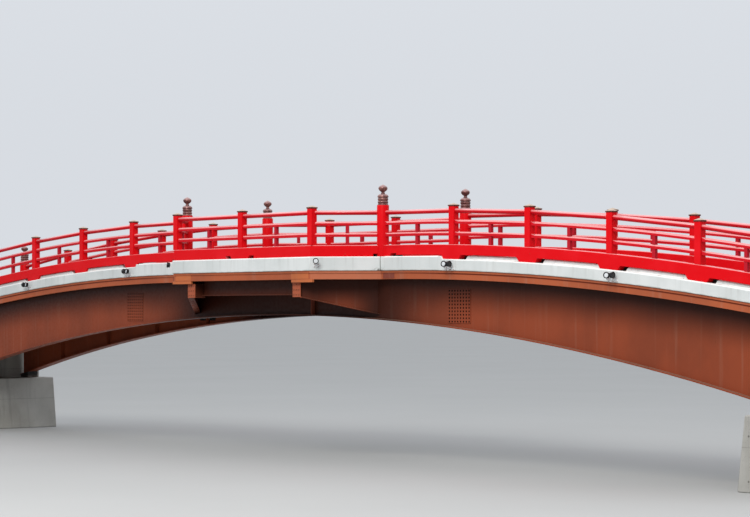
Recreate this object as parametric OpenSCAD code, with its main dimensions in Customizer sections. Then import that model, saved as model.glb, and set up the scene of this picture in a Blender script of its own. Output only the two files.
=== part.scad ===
// Arched footbridge with a widened middle platform, red post and rail parapets and
// brown plate girders. The bridge runs along X, its near side is -Y and +Z is up.
// The origin is under the middle of the bridge, on the lowest ground.

/* [Plan] */
// Distance between the two railing lines on an arm
arm_w = 2720; // [2400:10:3200]
// Post spacing along the platform's long edge, which has two bays
platform_bay = 2690; // [2400:10:3000]
// Length of a splayed side measured along the bridge
splay_x = 1200; // [1000:10:1400]
// Distance that a splayed side moves the railing line outwards
splay_y = 1200; // [1000:10:1400]
// Post spacing along an arm
arm_bay = 2440; // [2200:10:2600]
// Number of bays in each arm
arm_bays = 5; // [4:1:6]

/* [Rise] */
// Height of the white edge's top above the lowest ground, at the platform
deck_z = 4900; // [4700:10:5400]
// Radius of the camber that both arms follow
camber_r = 75000; // [65000:500:95000]
// Radius of the arched underside of the girders
arch_r = 68000; // [62000:500:80000]
// Depth of the arch's crown below the white edge's top
crown_depth = 1400; // [1250:10:1550]

/* [Deck] */
// Height of the white edge beam
edge_h = 335; // [300:5:380]
// Distance from the railing line out to the white edge's face
edge_out = 130; // [110:5:150]
// Distance from the railing line in to the white edge's inner face
edge_in = 120; // [100:5:140]
// How much lower the edge's ledge lies past the first post of an arm
ledge_drop = 70; // [50:5:90]
// Height of the kerb strip's top, past the first post of an arm
kerb_top = 25; // [10:1:28]
// Distance from the railing line out to the kerb strip's face
kerb_out = 40; // [20:5:60]
// Thickness of the paving
paving_t = 40; // [30:5:60]
// Overhang of the deck past the last post of an arm
deck_end_over = 250; // [200:10:350]

/* [Steel fascia] */
// Height of the brown fascia under the white edge
fascia_h = 205; // [180:5:240]
// Height of the fascia's upper lip
lip_h = 55; // [40:5:70]
// Distance from the railing line out to the lip's face
lip_out = 105; // [95:1:109]
// Distance from the railing line out to the fascia plate's face
fascia_out = 85; // [70:1:90]
// Thickness of the fascia plate and of its bottom flange
fascia_t = 15; // [10:1:20]
// Width of the fascia's bottom flange
fascia_flange_w = 75; // [50:5:90]

/* [Girders] */
// Distance from the railing line in to the middle of the girder's web
girder_in = 120; // [100:5:160]
// Thickness of the web
web_t = 20; // [14:1:26]
// Width of both girder flanges
flange_w = 300; // [240:10:340]
// Thickness of the top flange
top_flange_t = 25; // [20:1:35]
// Thickness of the bottom flange
bottom_flange_t = 30; // [20:1:40]
// Width of the stiffeners on the inner face of the web
stiffener_w = 130; // [100:5:135]
// Thickness of the stiffeners
stiffener_t = 14; // [10:1:20]
// Distance from the last post back to the girder's end
girder_short = 150; // [120:10:200]
// Depth of the cross beams between the girders
cross_h = 450; // [380:10:520]
// Width of the cross beam flanges
cross_flange_w = 180; // [140:10:220]
// Thickness of the cross beam webs and flanges
cross_t = 16; // [12:1:20]

/* [Platform steel] */
// Distance from the railing line in to the middle of the edge beam's web
edge_beam_in = 260; // [200:10:300]
// Depth of the edge beam's underside below the white edge's top
edge_beam_low = 910; // [850:10:930]
// Width of the edge beam's flanges
edge_beam_w = 140; // [120:10:160]
// Depth of the outriggers where they meet the edge beam
outrigger_h = 380; // [320:10:420]
// Depth of a bracket's tip below the white edge's top
bracket_tip_low = 960; // [940:10:1000]
// Depth of a bracket's root below the white edge's top
bracket_root_low = 1370; // [1200:10:1385]
// Distance along the bridge from a corner post back to the bracket's root
bracket_root_back = 310; // [260:10:360]
// Thickness of a bracket's web
bracket_web_t = 18; // [12:1:24]
// Width of a bracket's flanges
bracket_flange_w = 160; // [120:10:200]
// Thickness of a bracket's flanges and end plate
bracket_t = 20; // [14:1:26]
// Distance along the bridge from a corner of the platform back to the bracket's tip
bracket_tip_back = 515; // [440:5:580]
// Width of the plate that closes a bracket's tip
end_plate_w = 285; // [240:5:320]
// Length of the cap plate over a bracket's tip
cap_plate_l = 785; // [700:5:860]
// Thickness of the cap plate over a bracket's tip
cap_plate_t = 70; // [50:5:90]

/* [Vent grilles] */
// Width of a grille
grille_w = 750; // [640:10:800]
// Height of a grille
grille_h = 790; // [700:10:800]
// Depth of a grille's top below the white edge's top
grille_top = 790; // [760:10:820]
// Distance from the line of the arm's first post on to the middle of a grille
grille_past = 80; // [0:10:140]
// Thickness of a grille's plate
grille_t = 12; // [8:1:16]
// Holes across a grille
grille_cols = 8; // [6:1:9]
// Holes down a grille
grille_rows = 10; // [7:1:10]
// Width and height of one hole
grille_hole = 42; // [30:1:46]

/* [Railing] */
// Thickness of the sill beam
sill_t = 180; // [174:2:200]
// Height of the sill beam's top
sill_top = 270; // [240:5:300]
// Height of the sill's underside between its feet on the arms
sill_gap = 30; // [30:1:45]
// Length of a sill foot along its base
foot_w = 500; // [440:10:580]
// Length of the slope at each end of a foot
foot_slope = 75; // [60:5:110]
// Length of the drain opening in the kerb strip, on the lower side of each foot
drain_w = 190; // [140:10:240]
// Length of a scupper notch in the level sill
scupper_w = 200; // [150:10:240]
// Height of a scupper notch
scupper_h = 70; // [50:5:80]
// Distance from a post's middle to the near end of its scupper notch
scupper_off = 325; // [300:5:360]
// Length of the notch close to a main post, in the splayed side's sill
splay_notch_w = 115; // [90:5:140]
// Height of the top rail's upper side
top_rail_z = 1100; // [1070:5:1120]
// Diameter of the round top rail
top_rail_d = 108; // [90:2:120]
// Height of the second rail's upper side
second_rail_z = 835; // [800:5:860]
// Height of the third rail's upper side
third_rail_z = 560; // [520:5:600]
// Depth of the second and third rails
rail_h = 90; // [75:5:110]
// Width of the second and third rails
rail_t = 100; // [80:5:120]
// Width of the square struts in the middle of each bay
strut_w = 85; // [70:1:90]

/* [Posts] */
// Width of the square posts
post_w = 170; // [150:5:172]
// Height of the square posts' top
post_top = 1150; // [1140:5:1170]
// How far a post's cap stands past the post on each side
cap_over = 12; // [6:1:20]
// Height of the upright skirt of a cap
cap_skirt_h = 30; // [20:1:40]
// Height of the low pyramid of a cap
cap_rise = 45; // [30:1:60]
// Diameter of the round main posts
main_post_d = 290; // [270:2:310]
// Height of the round main posts' top
main_post_top = 1225; // [1200:5:1250]

/* [Finials] */
// Diameter of the bronze sleeve on a main post
sleeve_d = 252; // [240:2:260]
// Height of the sleeve
sleeve_h = 185; // [160:5:210]
// Depth of the grooves between the sleeve's rings
ring_groove = 9; // [4:1:12]
// Height of the rounded shoulder above the sleeve
shoulder_h = 85; // [70:5:105]
// Distance that the shoulder stands out past the sleeve
shoulder_over = 8; // [4:1:12]
// Height of the neck between the shoulder and the onion
neck_h = 30; // [20:2:44]
// Diameter of the neck
neck_d = 84; // [72:2:100]
// Largest diameter of the onion
onion_d = 218; // [200:2:240]
// Height of the onion with its tip
onion_h = 192; // [170:2:210]

/* [Spotlights] */
// Diameter of a lamp's can
lamp_d = 146; // [130:2:156]
// Length of a lamp's can
lamp_l = 84; // [60:4:110]
// Distance from the white edge's face out to the middle of a lamp
lamp_out = 120; // [110:2:140]
// Depth of a lamp's middle below the top of the white edge or its ledge
lamp_low = 112; // [104:2:130]

/* [Abutments] */
// Height of a bearing above the abutment's shelf, at its lower side
bearing_h = 90; // [60:5:120]
// Length of a bearing along the bridge
bearing_l = 400; // [300:10:460]
// Width of a bearing
bearing_w = 360; // [320:10:400]
// Distance from the girder's end back to the middle of a bearing
bearing_back = 300; // [260:10:340]
// Length of the abutment's shelf in front of the bearing's middle
shelf_front = 450; // [400:10:600]
// Slope of the abutment's front face, as run over height
batter = 0.12; // [0.05:0.01:0.2]
// Gap between the girder's end and the abutment's back wall
end_gap = 60; // [40:5:80]
// Length of the abutment's mass behind the deck's end
back_l = 900; // [700:20:1200]
// Distance that the abutment stands out past the railing line
abutment_side = 480; // [400:10:600]
// Open joint between the deck's end and the abutment
joint_gap = 15; // [10:1:25]

/* [Hidden] */

red = "#d42027";
brown = "#8a4a33";
brown_light = "#a85c40";
white = "#dcdcd8";
stone = "#a9a49a";
bronze = "#4a3b36";
cap_grey = "#8f8a86";
black = "#1d1d1f";

round_fn = 64;

arm_y = arm_w / 2;
platform_y = arm_y + splay_y;
platform_x = platform_bay;
corner_x = platform_x + splay_x;
end_x = corner_x + arm_bays * arm_bay;
deck_end = end_x + deck_end_over;
girder_end = end_x - girder_short;
backwall_x = girder_end + end_gap;

// The deck is level as far as here, so that the corners are mitred on the flat
level_margin = 200;
level_x = corner_x + level_margin;
turn = atan2(splay_y, splay_x);
mitre = tan(turn / 2);

girder_y = arm_y - girder_in;
fascia_low = edge_h + fascia_h;
foot_half = foot_w / 2;
drop_x = corner_x + arm_bay - foot_half;
grille_x = corner_x + arm_bay + grille_past;
grille_lap = 15;
strut_mid = 0.5;

// Curved pieces are sawn or rolled in short straight lengths, all with the same stations
facets_per_bay = 4;
facet = arm_bay / facets_per_bay;

function arc_drop(s, r) = sqrt(r * r - s * s) - r;

// An arc of radius r in straight lengths, at a distance s from its crown
function facet_drop(s, r) = let (k = floor(s / facet), f = s / facet - k)
    arc_drop(k * facet, r) * (1 - f) + arc_drop((k + 1) * facet, r) * f;

// Height of the camber at a place along the bridge, 0 on the platform
function dz(x) = facet_drop(max(0, abs(x) - level_x), camber_r);

// Height of the arch's underside at a place along the bridge
function arch_z(x) = facet_drop(abs(x), arch_r) - crown_depth;

// Places from x0 to x1 where a curve that starts at x_crown has a corner
function stations(x0, x1, x_crown) = concat(
    [x0],
    [for (k = [0:ceil((x1 - x_crown) / facet)])
        let (x = x_crown + k * facet) if (x > x0 + 1 && x < x1 - 1) x],
    [x1]
);
function deck_line(x0, x1, h) = [for (x = stations(x0, x1, level_x)) [x, dz(x) + h]];
function arch_line(x0, x1, h) = [for (x = stations(x0, x1, 0)) [x, arch_z(x) + h]];

// The near side of the level deck's outline, moved outwards by o
function side_path(o) = [
    [-level_x, -arm_y - o],
    [-corner_x - mitre * o, -arm_y - o],
    [-platform_x - mitre * o, -platform_y - o],
    [platform_x + mitre * o, -platform_y - o],
    [corner_x + mitre * o, -arm_y - o],
    [level_x, -arm_y - o]
];
function back(path) = [for (i = [len(path) - 1:-1:0]) path[i]];
function flip_y(path) = [for (p = path) [p[0], -p[1]]];
function flip_x(path) = [for (p = path) [-p[0], p[1]]];

arm_post_xs = [for (i = [1:arm_bays - 1]) corner_x + i * arm_bay];
arm_line_xs = [for (i = [0:arm_bays]) corner_x + i * arm_bay];
platform_posts = [for (i = [-1:1]) [i * platform_x, -platform_y]];
level_line = concat([[-corner_x, -arm_y]], platform_posts, [[corner_x, -arm_y]]);
cross_xs = concat([-platform_x, -platform_x / 2, 0, platform_x / 2, platform_x],
    [for (x = arm_line_xs) if (x < end_x) x], [for (x = arm_line_xs) if (x < end_x) -x]);

// Helpers for blocks, strips and copies
module both_ends() {
    children();
    mirror([1, 0, 0]) children();
}

module near_side(is_near) {
    mirror([0, is_near ? 0 : 1, 0]) children();
}

// A plan drawn in X and Y, extruded from z0 to z1 above the white edge's top
module level(z0, z1) {
    translate([0, 0, deck_z + z0]) linear_extrude(z1 - z0) children();
}

// A box from low to high corner, with Z counted from the white edge's top
module block(low, high) {
    translate([low[0], low[1], deck_z + low[2]]) cube(high - low);
}

// A profile drawn in X and Z, extruded across the bridge from y0 to y1
module across(y0, y1) {
    translate([0, y1, deck_z]) rotate([90, 0, 0]) linear_extrude(y1 - y0) children();
}

// A strip that follows the camber between two heights and two places
module strip(lo, hi, x0, x1) {
    polygon(concat(deck_line(x0, x1, hi), back(deck_line(x0, x1, lo))));
}

module side_band(o_out, o_in) {
    polygon(concat(side_path(o_out), back(side_path(o_in))));
}

// A straight bar in plan from p to q
module bar(p, q, w) {
    d = q - p;
    translate(p) rotate(atan2(d[1], d[0])) translate([0, -w / 2]) square([norm(d), w]);
}

// Abutments and bearings
shelf_x = girder_end - bearing_back;
shelf_z = arch_z(shelf_x + bearing_l / 2) - bearing_h;
front_x = shelf_x - shelf_front;
back_x = deck_end + back_l;
ground = -deck_z;

module abutment() {
    top = dz(deck_end);
    side_y = arm_y + abutment_side;
    seat_end = deck_end + joint_gap;
    across(-side_y, side_y) polygon(concat(
        [
            [back_x, ground],
            [front_x - batter * (shelf_z - ground), ground],
            [front_x, shelf_z],
            [backwall_x, shelf_z]
        ],
        deck_line(backwall_x, seat_end, -edge_h),
        [[seat_end, top], [back_x, top]]
    ));
}

module abutment_left() {
    color(stone) mirror([1, 0, 0]) abutment();
}

module abutment_right() {
    color(stone) abutment();
}

module bearings() {
    color(black) both_ends() for (side = [-1, 1])
        across(side * girder_y - bearing_w / 2, side * girder_y + bearing_w / 2)
            polygon(concat(
                arch_line(shelf_x - bearing_l / 2, shelf_x + bearing_l / 2, 0),
                [[shelf_x + bearing_l / 2, shelf_z], [shelf_x - bearing_l / 2, shelf_z]]
            ));
}

// Girders with arched undersides
module web_profile() {
    top = deck_line(0, girder_end, -edge_h);
    low = arch_line(0, girder_end, 0);
    polygon(concat(flip_x(back(top)), top, back(low), flip_x(low)));
}

module girder(is_near) {
    seat = 10;
    open_w = grille_w - 2 * grille_lap;
    near_side(is_near) union() {
        difference() {
            across(-girder_y - web_t / 2, -girder_y + web_t / 2) web_profile();
            both_ends() block(
                [grille_x - open_w / 2, -girder_y - web_t, -grille_top - grille_h + grille_lap],
                [grille_x + open_w / 2, -girder_y + web_t, -grille_top - grille_lap]
            );
        }
        across(-girder_y - flange_w / 2, -girder_y + flange_w / 2) {
            top = deck_line(0, girder_end, -edge_h);
            under = deck_line(0, girder_end, -edge_h - top_flange_t);
            polygon(concat(flip_x(back(top)), top, back(under), flip_x(under)));
        }
        across(-girder_y - flange_w / 2, -girder_y + flange_w / 2) {
            top = arch_line(0, girder_end, bottom_flange_t);
            under = arch_line(0, girder_end, 0);
            polygon(concat(flip_x(back(top)), top, back(under), flip_x(under)));
        }
        for (x = cross_xs) block(
            [x - stiffener_t / 2, -girder_y, arch_z(x) + seat],
            [x + stiffener_t / 2, -girder_y + web_t / 2 + stiffener_w, dz(x) - edge_h - seat]
        );
    }
}

module main_girder_near() {
    color(brown) girder(true);
}

module main_girder_far() {
    color(brown) girder(false);
}

// Cross beams between the stiffeners of the two girders, square to the camber
module i_profile(w, h, t) {
    translate([-w / 2, -h]) square([w, t]);
    translate([-w / 2, -t]) square([w, t]);
    translate([-t / 2, -h]) square([t, h]);
}

function camber_slope(x) = atan2(dz(x - 1) - dz(x + 1), 2);

module cross_beams() {
    half = girder_y - web_t / 2 - stiffener_w;
    color(brown) for (x = cross_xs)
        translate([x, half, deck_z + dz(x) - edge_h]) rotate([0, camber_slope(x), 0]) rotate([90, 0, 0])
            linear_extrude(2 * half) i_profile(cross_flange_w, cross_h, cross_t);
}

// Steel that carries the widened platform
edge_beam_y = platform_y - edge_beam_in;
tip_x = platform_x - bracket_tip_back;
root_x = corner_x - bracket_root_back;

module edge_beam(is_near) {
    h = edge_beam_low - edge_h;
    half = tip_x - end_plate_w;
    near_side(is_near) translate([-half, -edge_beam_y, deck_z - edge_h]) rotate([90, 0, 90])
        linear_extrude(2 * half) {
            translate([-web_t / 2, -h]) square([web_t, h]);
            translate([-edge_beam_w / 2, -top_flange_t]) square([edge_beam_w, top_flange_t]);
            translate([-edge_beam_w / 2, -h]) square([edge_beam_w, top_flange_t]);
        }
}

module edge_beam_near() {
    color(brown) edge_beam(true);
}

module edge_beam_far() {
    color(brown) edge_beam(false);
}

module outrigger(x) {
    near_y = girder_y + web_t / 2;
    flange_y = girder_y + flange_w / 2;
    far_y = edge_beam_y - web_t / 2;
    inner_y = edge_beam_y - edge_beam_w / 2;
    low = -edge_h - outrigger_h;
    root_low = low - outrigger_h / 4;
    translate([x - cross_t / 2, 0, deck_z]) rotate([90, 0, 90]) linear_extrude(cross_t)
        polygon([
            [near_y, -edge_h - top_flange_t], [flange_y, -edge_h - top_flange_t], [flange_y, -edge_h],
            [inner_y, -edge_h], [inner_y, -edge_h - top_flange_t], [far_y, -edge_h - top_flange_t],
            [far_y, low], [near_y, root_low]
        ]);
    translate([x - cross_flange_w / 2, 0, deck_z]) rotate([90, 0, 90]) linear_extrude(cross_flange_w) {
        polygon([[near_y, root_low], [far_y, low], [far_y, low + cross_t], [near_y, root_low + cross_t]]);
        translate([flange_y, -edge_h - cross_t]) square([inner_y - flange_y, cross_t]);
    }
}

module outriggers() {
    color(brown) for (m = [0, 1]) mirror([0, m, 0]) for (i = [-1:1]) outrigger(i * platform_x / 2);
}

// A tapered bracket under a splayed side, from the girder out to the platform's edge
module cap_plate() {
    x = platform_x + mitre * fascia_out - cap_plate_l;
    translate([x, platform_y - edge_out, deck_z - fascia_low - cap_plate_t])
        cube([cap_plate_l, edge_out + fascia_out, cap_plate_t]);
}

// Height of a bracket's underside at a distance u from its tip
function bracket_low(u, l) = -bracket_tip_low - (bracket_root_low - bracket_tip_low) * u / l;

module bracket_plates(l, over) {
    ends = [-over, l + over];
    low = [for (u = ends) bracket_low(u, l)];
    translate([0, bracket_web_t / 2, 0]) rotate([90, 0, 0]) linear_extrude(bracket_web_t)
        polygon([[ends[0], -edge_h], [ends[1], -edge_h], [ends[1], low[1]], [ends[0], low[0]]]);
    translate([0, bracket_flange_w / 2, 0]) rotate([90, 0, 0]) linear_extrude(bracket_flange_w) {
        polygon([
            [ends[0], low[0]], [ends[1], low[1]],
            [ends[1], low[1] + bracket_t], [ends[0], low[0] + bracket_t]
        ]);
        translate([-over, -edge_h - bracket_t]) square([l + 2 * over, bracket_t]);
    }
}

module bracket() {
    tip = [tip_x, platform_y - 2 * bracket_t];
    d = [root_x, girder_y] - tip;
    plate_top = fascia_low + cap_plate_t;
    plate_h = bracket_tip_low - plate_top;
    inner_y = edge_beam_y - edge_beam_w / 2;
    front = platform_y - bracket_t / 2;
    box_x = tip_x - end_plate_w;
    difference() {
        union() {
            difference() {
                translate([tip[0], tip[1], deck_z]) rotate([0, 0, atan2(d[1], d[0])])
                    bracket_plates(norm(d), bracket_flange_w);
                translate([0, front, 0]) cube([2 * corner_x, splay_y, deck_z]);
            }
            translate([box_x, platform_y - bracket_t, deck_z - bracket_tip_low])
                cube([end_plate_w + bracket_flange_w / 2, bracket_t, plate_h]);
            translate([box_x, inner_y, deck_z - bracket_tip_low])
                cube([bracket_t, front - inner_y, plate_h]);
            translate([box_x, inner_y, deck_z - bracket_tip_low])
                cube([end_plate_w, front - inner_y, bracket_t]);
        }
        translate([0, 0, deck_z - 2 * bracket_root_low])
            cube([2 * corner_x, girder_y + web_t / 2, 3 * bracket_root_low]);
        translate([0, 0, deck_z - edge_h - top_flange_t])
            cube([2 * corner_x, girder_y + flange_w / 2, top_flange_t + 1]);
        translate([0, platform_y - edge_out, deck_z - plate_top])
            cube([2 * corner_x, 3 * edge_out, plate_top]);
    }
}

module bracket_near_right() {
    color(brown_light) mirror([0, 1, 0]) bracket();
}

module bracket_near_left() {
    color(brown_light) mirror([1, 0, 0]) mirror([0, 1, 0]) bracket();
}

module bracket_far_right() {
    color(brown_light) bracket();
}

module bracket_far_left() {
    color(brown_light) mirror([1, 0, 0]) bracket();
}

module bracket_caps() {
    color(brown_light) for (m = [0, 1]) mirror([0, m, 0]) both_ends() cap_plate();
}

// Perforated plates over openings in the girder webs
module grille() {
    step_x = grille_w / grille_cols;
    step_z = grille_h / grille_rows;
    difference() {
        square([grille_w, grille_h]);
        for (i = [0:grille_cols - 1], j = [0:grille_rows - 1])
            translate([(i + 0.5) * step_x, (j + 0.5) * step_z]) square(grille_hole, center = true);
    }
}

module vent_grilles() {
    x = grille_x - grille_w / 2;
    color(brown) for (m = [0, 1]) mirror([0, m, 0]) both_ends()
        translate([x, girder_y + web_t / 2 + grille_t, deck_z - grille_top - grille_h])
            rotate([90, 0, 0]) linear_extrude(grille_t) grille();
}

// Deck
module deck_layer(lo, hi) {
    union() {
        level(lo, hi) polygon(concat(side_path(-edge_in), back(flip_y(side_path(-edge_in)))));
        both_ends() across(-arm_y + edge_in, arm_y - edge_in) strip(lo, hi, level_x, deck_end);
    }
}

module deck_slab() {
    color(stone) deck_layer(-edge_h, -paving_t);
}

module walkway_paving() {
    color("#8d8379") deck_layer(-paving_t, 0);
}

module white_edge(is_near) {
    near_side(is_near) union() {
        level(-edge_h, 0) side_band(edge_out, -edge_in);
        both_ends() {
            across(-arm_y - edge_out, -arm_y + edge_in) polygon(concat(
                deck_line(level_x, drop_x - slope_run(ledge_drop), 0),
                deck_line(drop_x, deck_end, -ledge_drop),
                back(deck_line(level_x, deck_end, -edge_h))
            ));
            across(-arm_y - kerb_out, -arm_y + edge_in) kerbs();
        }
    }
}

module white_edge_near() {
    color(white) white_edge(true);
}

module white_edge_far() {
    color(white) white_edge(false);
}

module fascia_strip(lo, hi, o_out, o_in) {
    level(lo, hi) side_band(o_out, o_in);
    both_ends() across(-arm_y - o_out, -arm_y - o_in) strip(lo, hi, level_x, backwall_x - end_gap);
}

module fascia(is_near) {
    inner = fascia_out - fascia_t;
    near_side(is_near) union() {
        fascia_strip(-edge_h - lip_h, -edge_h, lip_out, inner);
        fascia_strip(-fascia_low, -edge_h - lip_h, fascia_out, inner);
        fascia_strip(-fascia_low, -fascia_low + fascia_t, fascia_out, fascia_out - fascia_flange_w);
    }
}

module fascia_near() {
    color(brown_light) fascia(true);
}

module fascia_far() {
    color(brown_light) fascia(false);
}

// Sill beam on feet, with scupper notches beside the platform's posts
// Length that a foot's slope takes over a height h
function slope_run(h) = foot_slope * h / (ledge_drop + sill_gap);

// The underside of an arm's sill: a level foot at the corner post, then a foot under each post
function sill_underside() = let (
    starts = concat([corner_x + scupper_off + foot_slope], [for (x = arm_post_xs) x + foot_half + foot_slope]),
    ends = [for (x = concat(arm_post_xs, [end_x])) x - foot_half - foot_slope]
) concat(
    deck_line(level_x, starts[0], 0),
    [for (i = [0:len(ends) - 1]) each concat(
        deck_line(starts[i], ends[i], sill_gap),
        deck_line(ends[i] + foot_slope, min(end_x, ends[i] + foot_slope + foot_w), -ledge_drop)
    )]
);

// The kerb strip between the feet, with a drain opening on the lower side of each
module kerbs() {
    root = ledge_drop / 2;
    up = slope_run(ledge_drop + kerb_top);
    down = slope_run(root);
    for (i = [0:len(arm_post_xs) - 1]) {
        a = arm_line_xs[i + 1] + foot_half + drain_w;
        b = arm_line_xs[i + 2] - foot_half;
        polygon(concat(
            [[a - down, dz(a) - ledge_drop - root]],
            deck_line(a + up, b - up, kerb_top),
            [[b + down, dz(b) - ledge_drop - root]]
        ));
    }
}

// Notches beside the middle and corner posts, sloped like the ends of the feet
module scuppers() {
    lean = slope_run(scupper_h);
    under = -5;
    near = scupper_off;
    far = scupper_off + scupper_w;
    both_ends() for (p = [[0, -platform_y], [corner_x, -arm_y]])
        translate([p[0], 0, 0]) across(p[1] - sill_t, p[1] + sill_t)
            polygon([[near, under], [far, under], [far + lean, scupper_h], [near + lean, scupper_h]]);
    in_post = main_post_d / 4;
    post_edge = sqrt(pow(main_post_d / 2, 2) - pow(sill_t / 2, 2));
    both_ends() translate([corner_x, -arm_y, deck_z - 1]) rotate(180 + turn) translate([in_post, -sill_t, 0])
        cube([post_edge + splay_notch_w - in_post, 2 * sill_t, scupper_h + 1]);
}

module main_post_cores(low) {
    for (x = [-end_x, -corner_x, corner_x, end_x])
        translate([x, -arm_y, deck_z + dz(x) + low])
            cylinder(d = main_post_d, h = main_post_top - low, $fn = round_fn);
}

module sill(is_near) {
    near_side(is_near) difference() {
        union() {
            level(0, sill_top) side_band(sill_t / 2, -sill_t / 2);
            both_ends() across(-arm_y - sill_t / 2, -arm_y + sill_t / 2)
                polygon(concat(deck_line(level_x, end_x, sill_top), back(sill_underside())));
        }
        scuppers();
        main_post_cores(-3 * ledge_drop);
    }
}

module sill_near() {
    color(red) sill(true);
}

module sill_far() {
    color(red) sill(false);
}

// Posts
module square_posts(is_near) {
    near_side(is_near) {
        for (p = platform_posts) level(sill_top, post_top) translate(p) square(post_w, center = true);
        both_ends() across(-arm_y - post_w / 2, -arm_y + post_w / 2) for (x = arm_post_xs)
            polygon(concat(
                deck_line(x - post_w / 2, x + post_w / 2, sill_top),
                [[x + post_w / 2, dz(x) + post_top], [x - post_w / 2, dz(x) + post_top]]
            ));
    }
}

module square_posts_near() {
    color(red) square_posts(true);
}

module square_posts_far() {
    color(red) square_posts(false);
}

module post_cap() {
    w = post_w + 2 * cap_over;
    in = w / 2 - 1;
    top = cap_skirt_h + cap_rise;
    difference() {
        translate([-w / 2, -w / 2, 0]) cube([w, w, top]);
        for (turns = [0:3]) rotate([0, 0, 90 * turns]) translate([0, -w, 0]) rotate([90, 0, 90])
            linear_extrude(2 * w, center = true)
                polygon([[in, cap_skirt_h - 2 * cap_rise / w], [w, top], [w, 2 * w], [in, 2 * w]]);
    }
}

module post_caps(is_near) {
    near_side(is_near) {
        for (p = platform_posts) translate([p[0], p[1], deck_z + post_top]) post_cap();
        both_ends() for (x = arm_post_xs) translate([x, -arm_y, deck_z + dz(x) + post_top]) post_cap();
    }
}

module post_caps_near() {
    color(cap_grey) post_caps(true);
}

module post_caps_far() {
    color(cap_grey) post_caps(false);
}

module main_posts() {
    color(red) for (m = [0, 1]) mirror([0, m, 0]) {
        for (x = [-corner_x, corner_x]) translate([x, -arm_y, deck_z])
            cylinder(d = main_post_d, h = main_post_top, $fn = round_fn);
        both_ends() difference() {
            translate([end_x, -arm_y, deck_z + dz(end_x) - 3 * ledge_drop])
                cylinder(d = main_post_d, h = main_post_top + 3 * ledge_drop, $fn = round_fn);
            across(-arm_y - main_post_d, -arm_y + main_post_d)
                strip(-edge_h - 4 * ledge_drop, -ledge_drop, end_x - main_post_d, end_x + main_post_d);
        }
    }
}

// Rails, cut to the faces of the posts
module square_rail(is_near, top) {
    near_side(is_near) difference() {
        union() {
            level(top - rail_h, top) difference() {
                for (i = [0:len(level_line) - 2]) bar(level_line[i], level_line[i + 1], rail_t);
                for (p = platform_posts) translate(p) square(post_w, center = true);
            }
            both_ends() across(-arm_y - rail_t / 2, -arm_y + rail_t / 2) for (i = [0:arm_bays - 1])
                strip(top - rail_h, top, arm_line_xs[i] + (i > 0 ? post_w / 2 : 0),
                    arm_line_xs[i + 1] - (i < arm_bays - 1 ? post_w / 2 : 0));
        }
        main_post_cores(0);
    }
}

module third_rail_near() {
    color(red) square_rail(true, third_rail_z);
}

module third_rail_far() {
    color(red) square_rail(false, third_rail_z);
}

module second_rail_near() {
    color(red) square_rail(true, second_rail_z);
}

module second_rail_far() {
    color(red) square_rail(false, second_rail_z);
}

// A round rail from p to q, which are points on its axis
module round_rail(p, q) {
    d = q - p;
    translate(p) rotate([0, acos(d[2] / norm(d)), atan2(d[1], d[0])])
        cylinder(d = top_rail_d, h = norm(d), $fn = round_fn);
}

function rail_axis(p) = [p[0], p[1], deck_z + dz(p[0]) + top_rail_z - top_rail_d / 2];

// The space that a post takes out of a rail
module post_space(p) {
    is_round = abs(abs(p[0]) - corner_x) < 1 || abs(abs(p[0]) - end_x) < 1;
    translate([p[0], p[1], deck_z + dz(p[0])]) {
        if (is_round) cylinder(d = main_post_d, h = main_post_top, $fn = round_fn);
        else translate([-post_w / 2, -post_w / 2, 0]) cube([post_w, post_w, post_top]);
    }
}

module top_rail(is_near) {
    right = [for (x = arm_line_xs) [x, -arm_y]];
    line = concat(back(flip_x(right)), platform_posts, right);
    near_side(is_near) for (i = [0:len(line) - 2]) difference() {
        round_rail(rail_axis(line[i]), rail_axis(line[i + 1]));
        post_space(line[i]);
        post_space(line[i + 1]);
    }
}

module top_rail_near() {
    color(red) top_rail(true);
}

module top_rail_far() {
    color(red) top_rail(false);
}

// Struts in the middle of each bay, in two lengths above and below the third rail
module strut_lengths(is_near, lo, hi) {
    near_side(is_near) {
        level(lo, hi) for (i = [0:len(level_line) - 2]) {
            d = level_line[i + 1] - level_line[i];
            translate(level_line[i] + strut_mid * d) rotate(atan2(d[1], d[0])) square(strut_w, center = true);
        }
        both_ends() across(-arm_y - strut_w / 2, -arm_y + strut_w / 2) for (i = [0:arm_bays - 1]) {
            x = arm_line_xs[i] + strut_mid * arm_bay;
            strip(lo, hi, x - strut_w / 2, x + strut_w / 2);
        }
    }
}

module struts(is_near) {
    strut_lengths(is_near, sill_top, third_rail_z - rail_h);
    strut_lengths(is_near, third_rail_z, second_rail_z - rail_h);
}

module struts_near() {
    color(red) struts(true);
}

module struts_far() {
    color(red) struts(false);
}

// Bronze sleeves and onion finials on the main posts
module on_main_posts() {
    for (m = [0, 1]) mirror([0, m, 0]) for (x = [-end_x, -corner_x, corner_x, end_x])
        translate([x, -arm_y, deck_z + dz(x) + main_post_top]) children();
}

module finial_sleeves() {
    r = sleeve_d / 2;
    rings = 3;
    step = sleeve_h / rings;
    groove_h = step / 3;
    color(bronze) on_main_posts() rotate_extrude($fn = round_fn) difference() {
        square([r, sleeve_h]);
        for (i = [1:rings - 1])
            translate([r - ring_groove, i * step - groove_h / 2]) square([2 * ring_groove, groove_h]);
    }
}

// The onion swells from the neck, is widest above its middle and ends in a small tip
shoulder_steps = 8;
onion_steps = 18;
shoulder_r = sleeve_d / 2 + shoulder_over;
tip_from = 0.96;
function onion_ball(t) = onion_d / 2 * pow(sin(180 * pow(t / tip_from, 1.12)), 0.6);
function onion_r(t) = t < 0.5 ? max(neck_d / 2 * (1 - 3 * t), onion_ball(t))
    : max(onion_d * 0.9 * (1 - t), t < tip_from ? onion_ball(t) : 0);

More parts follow.
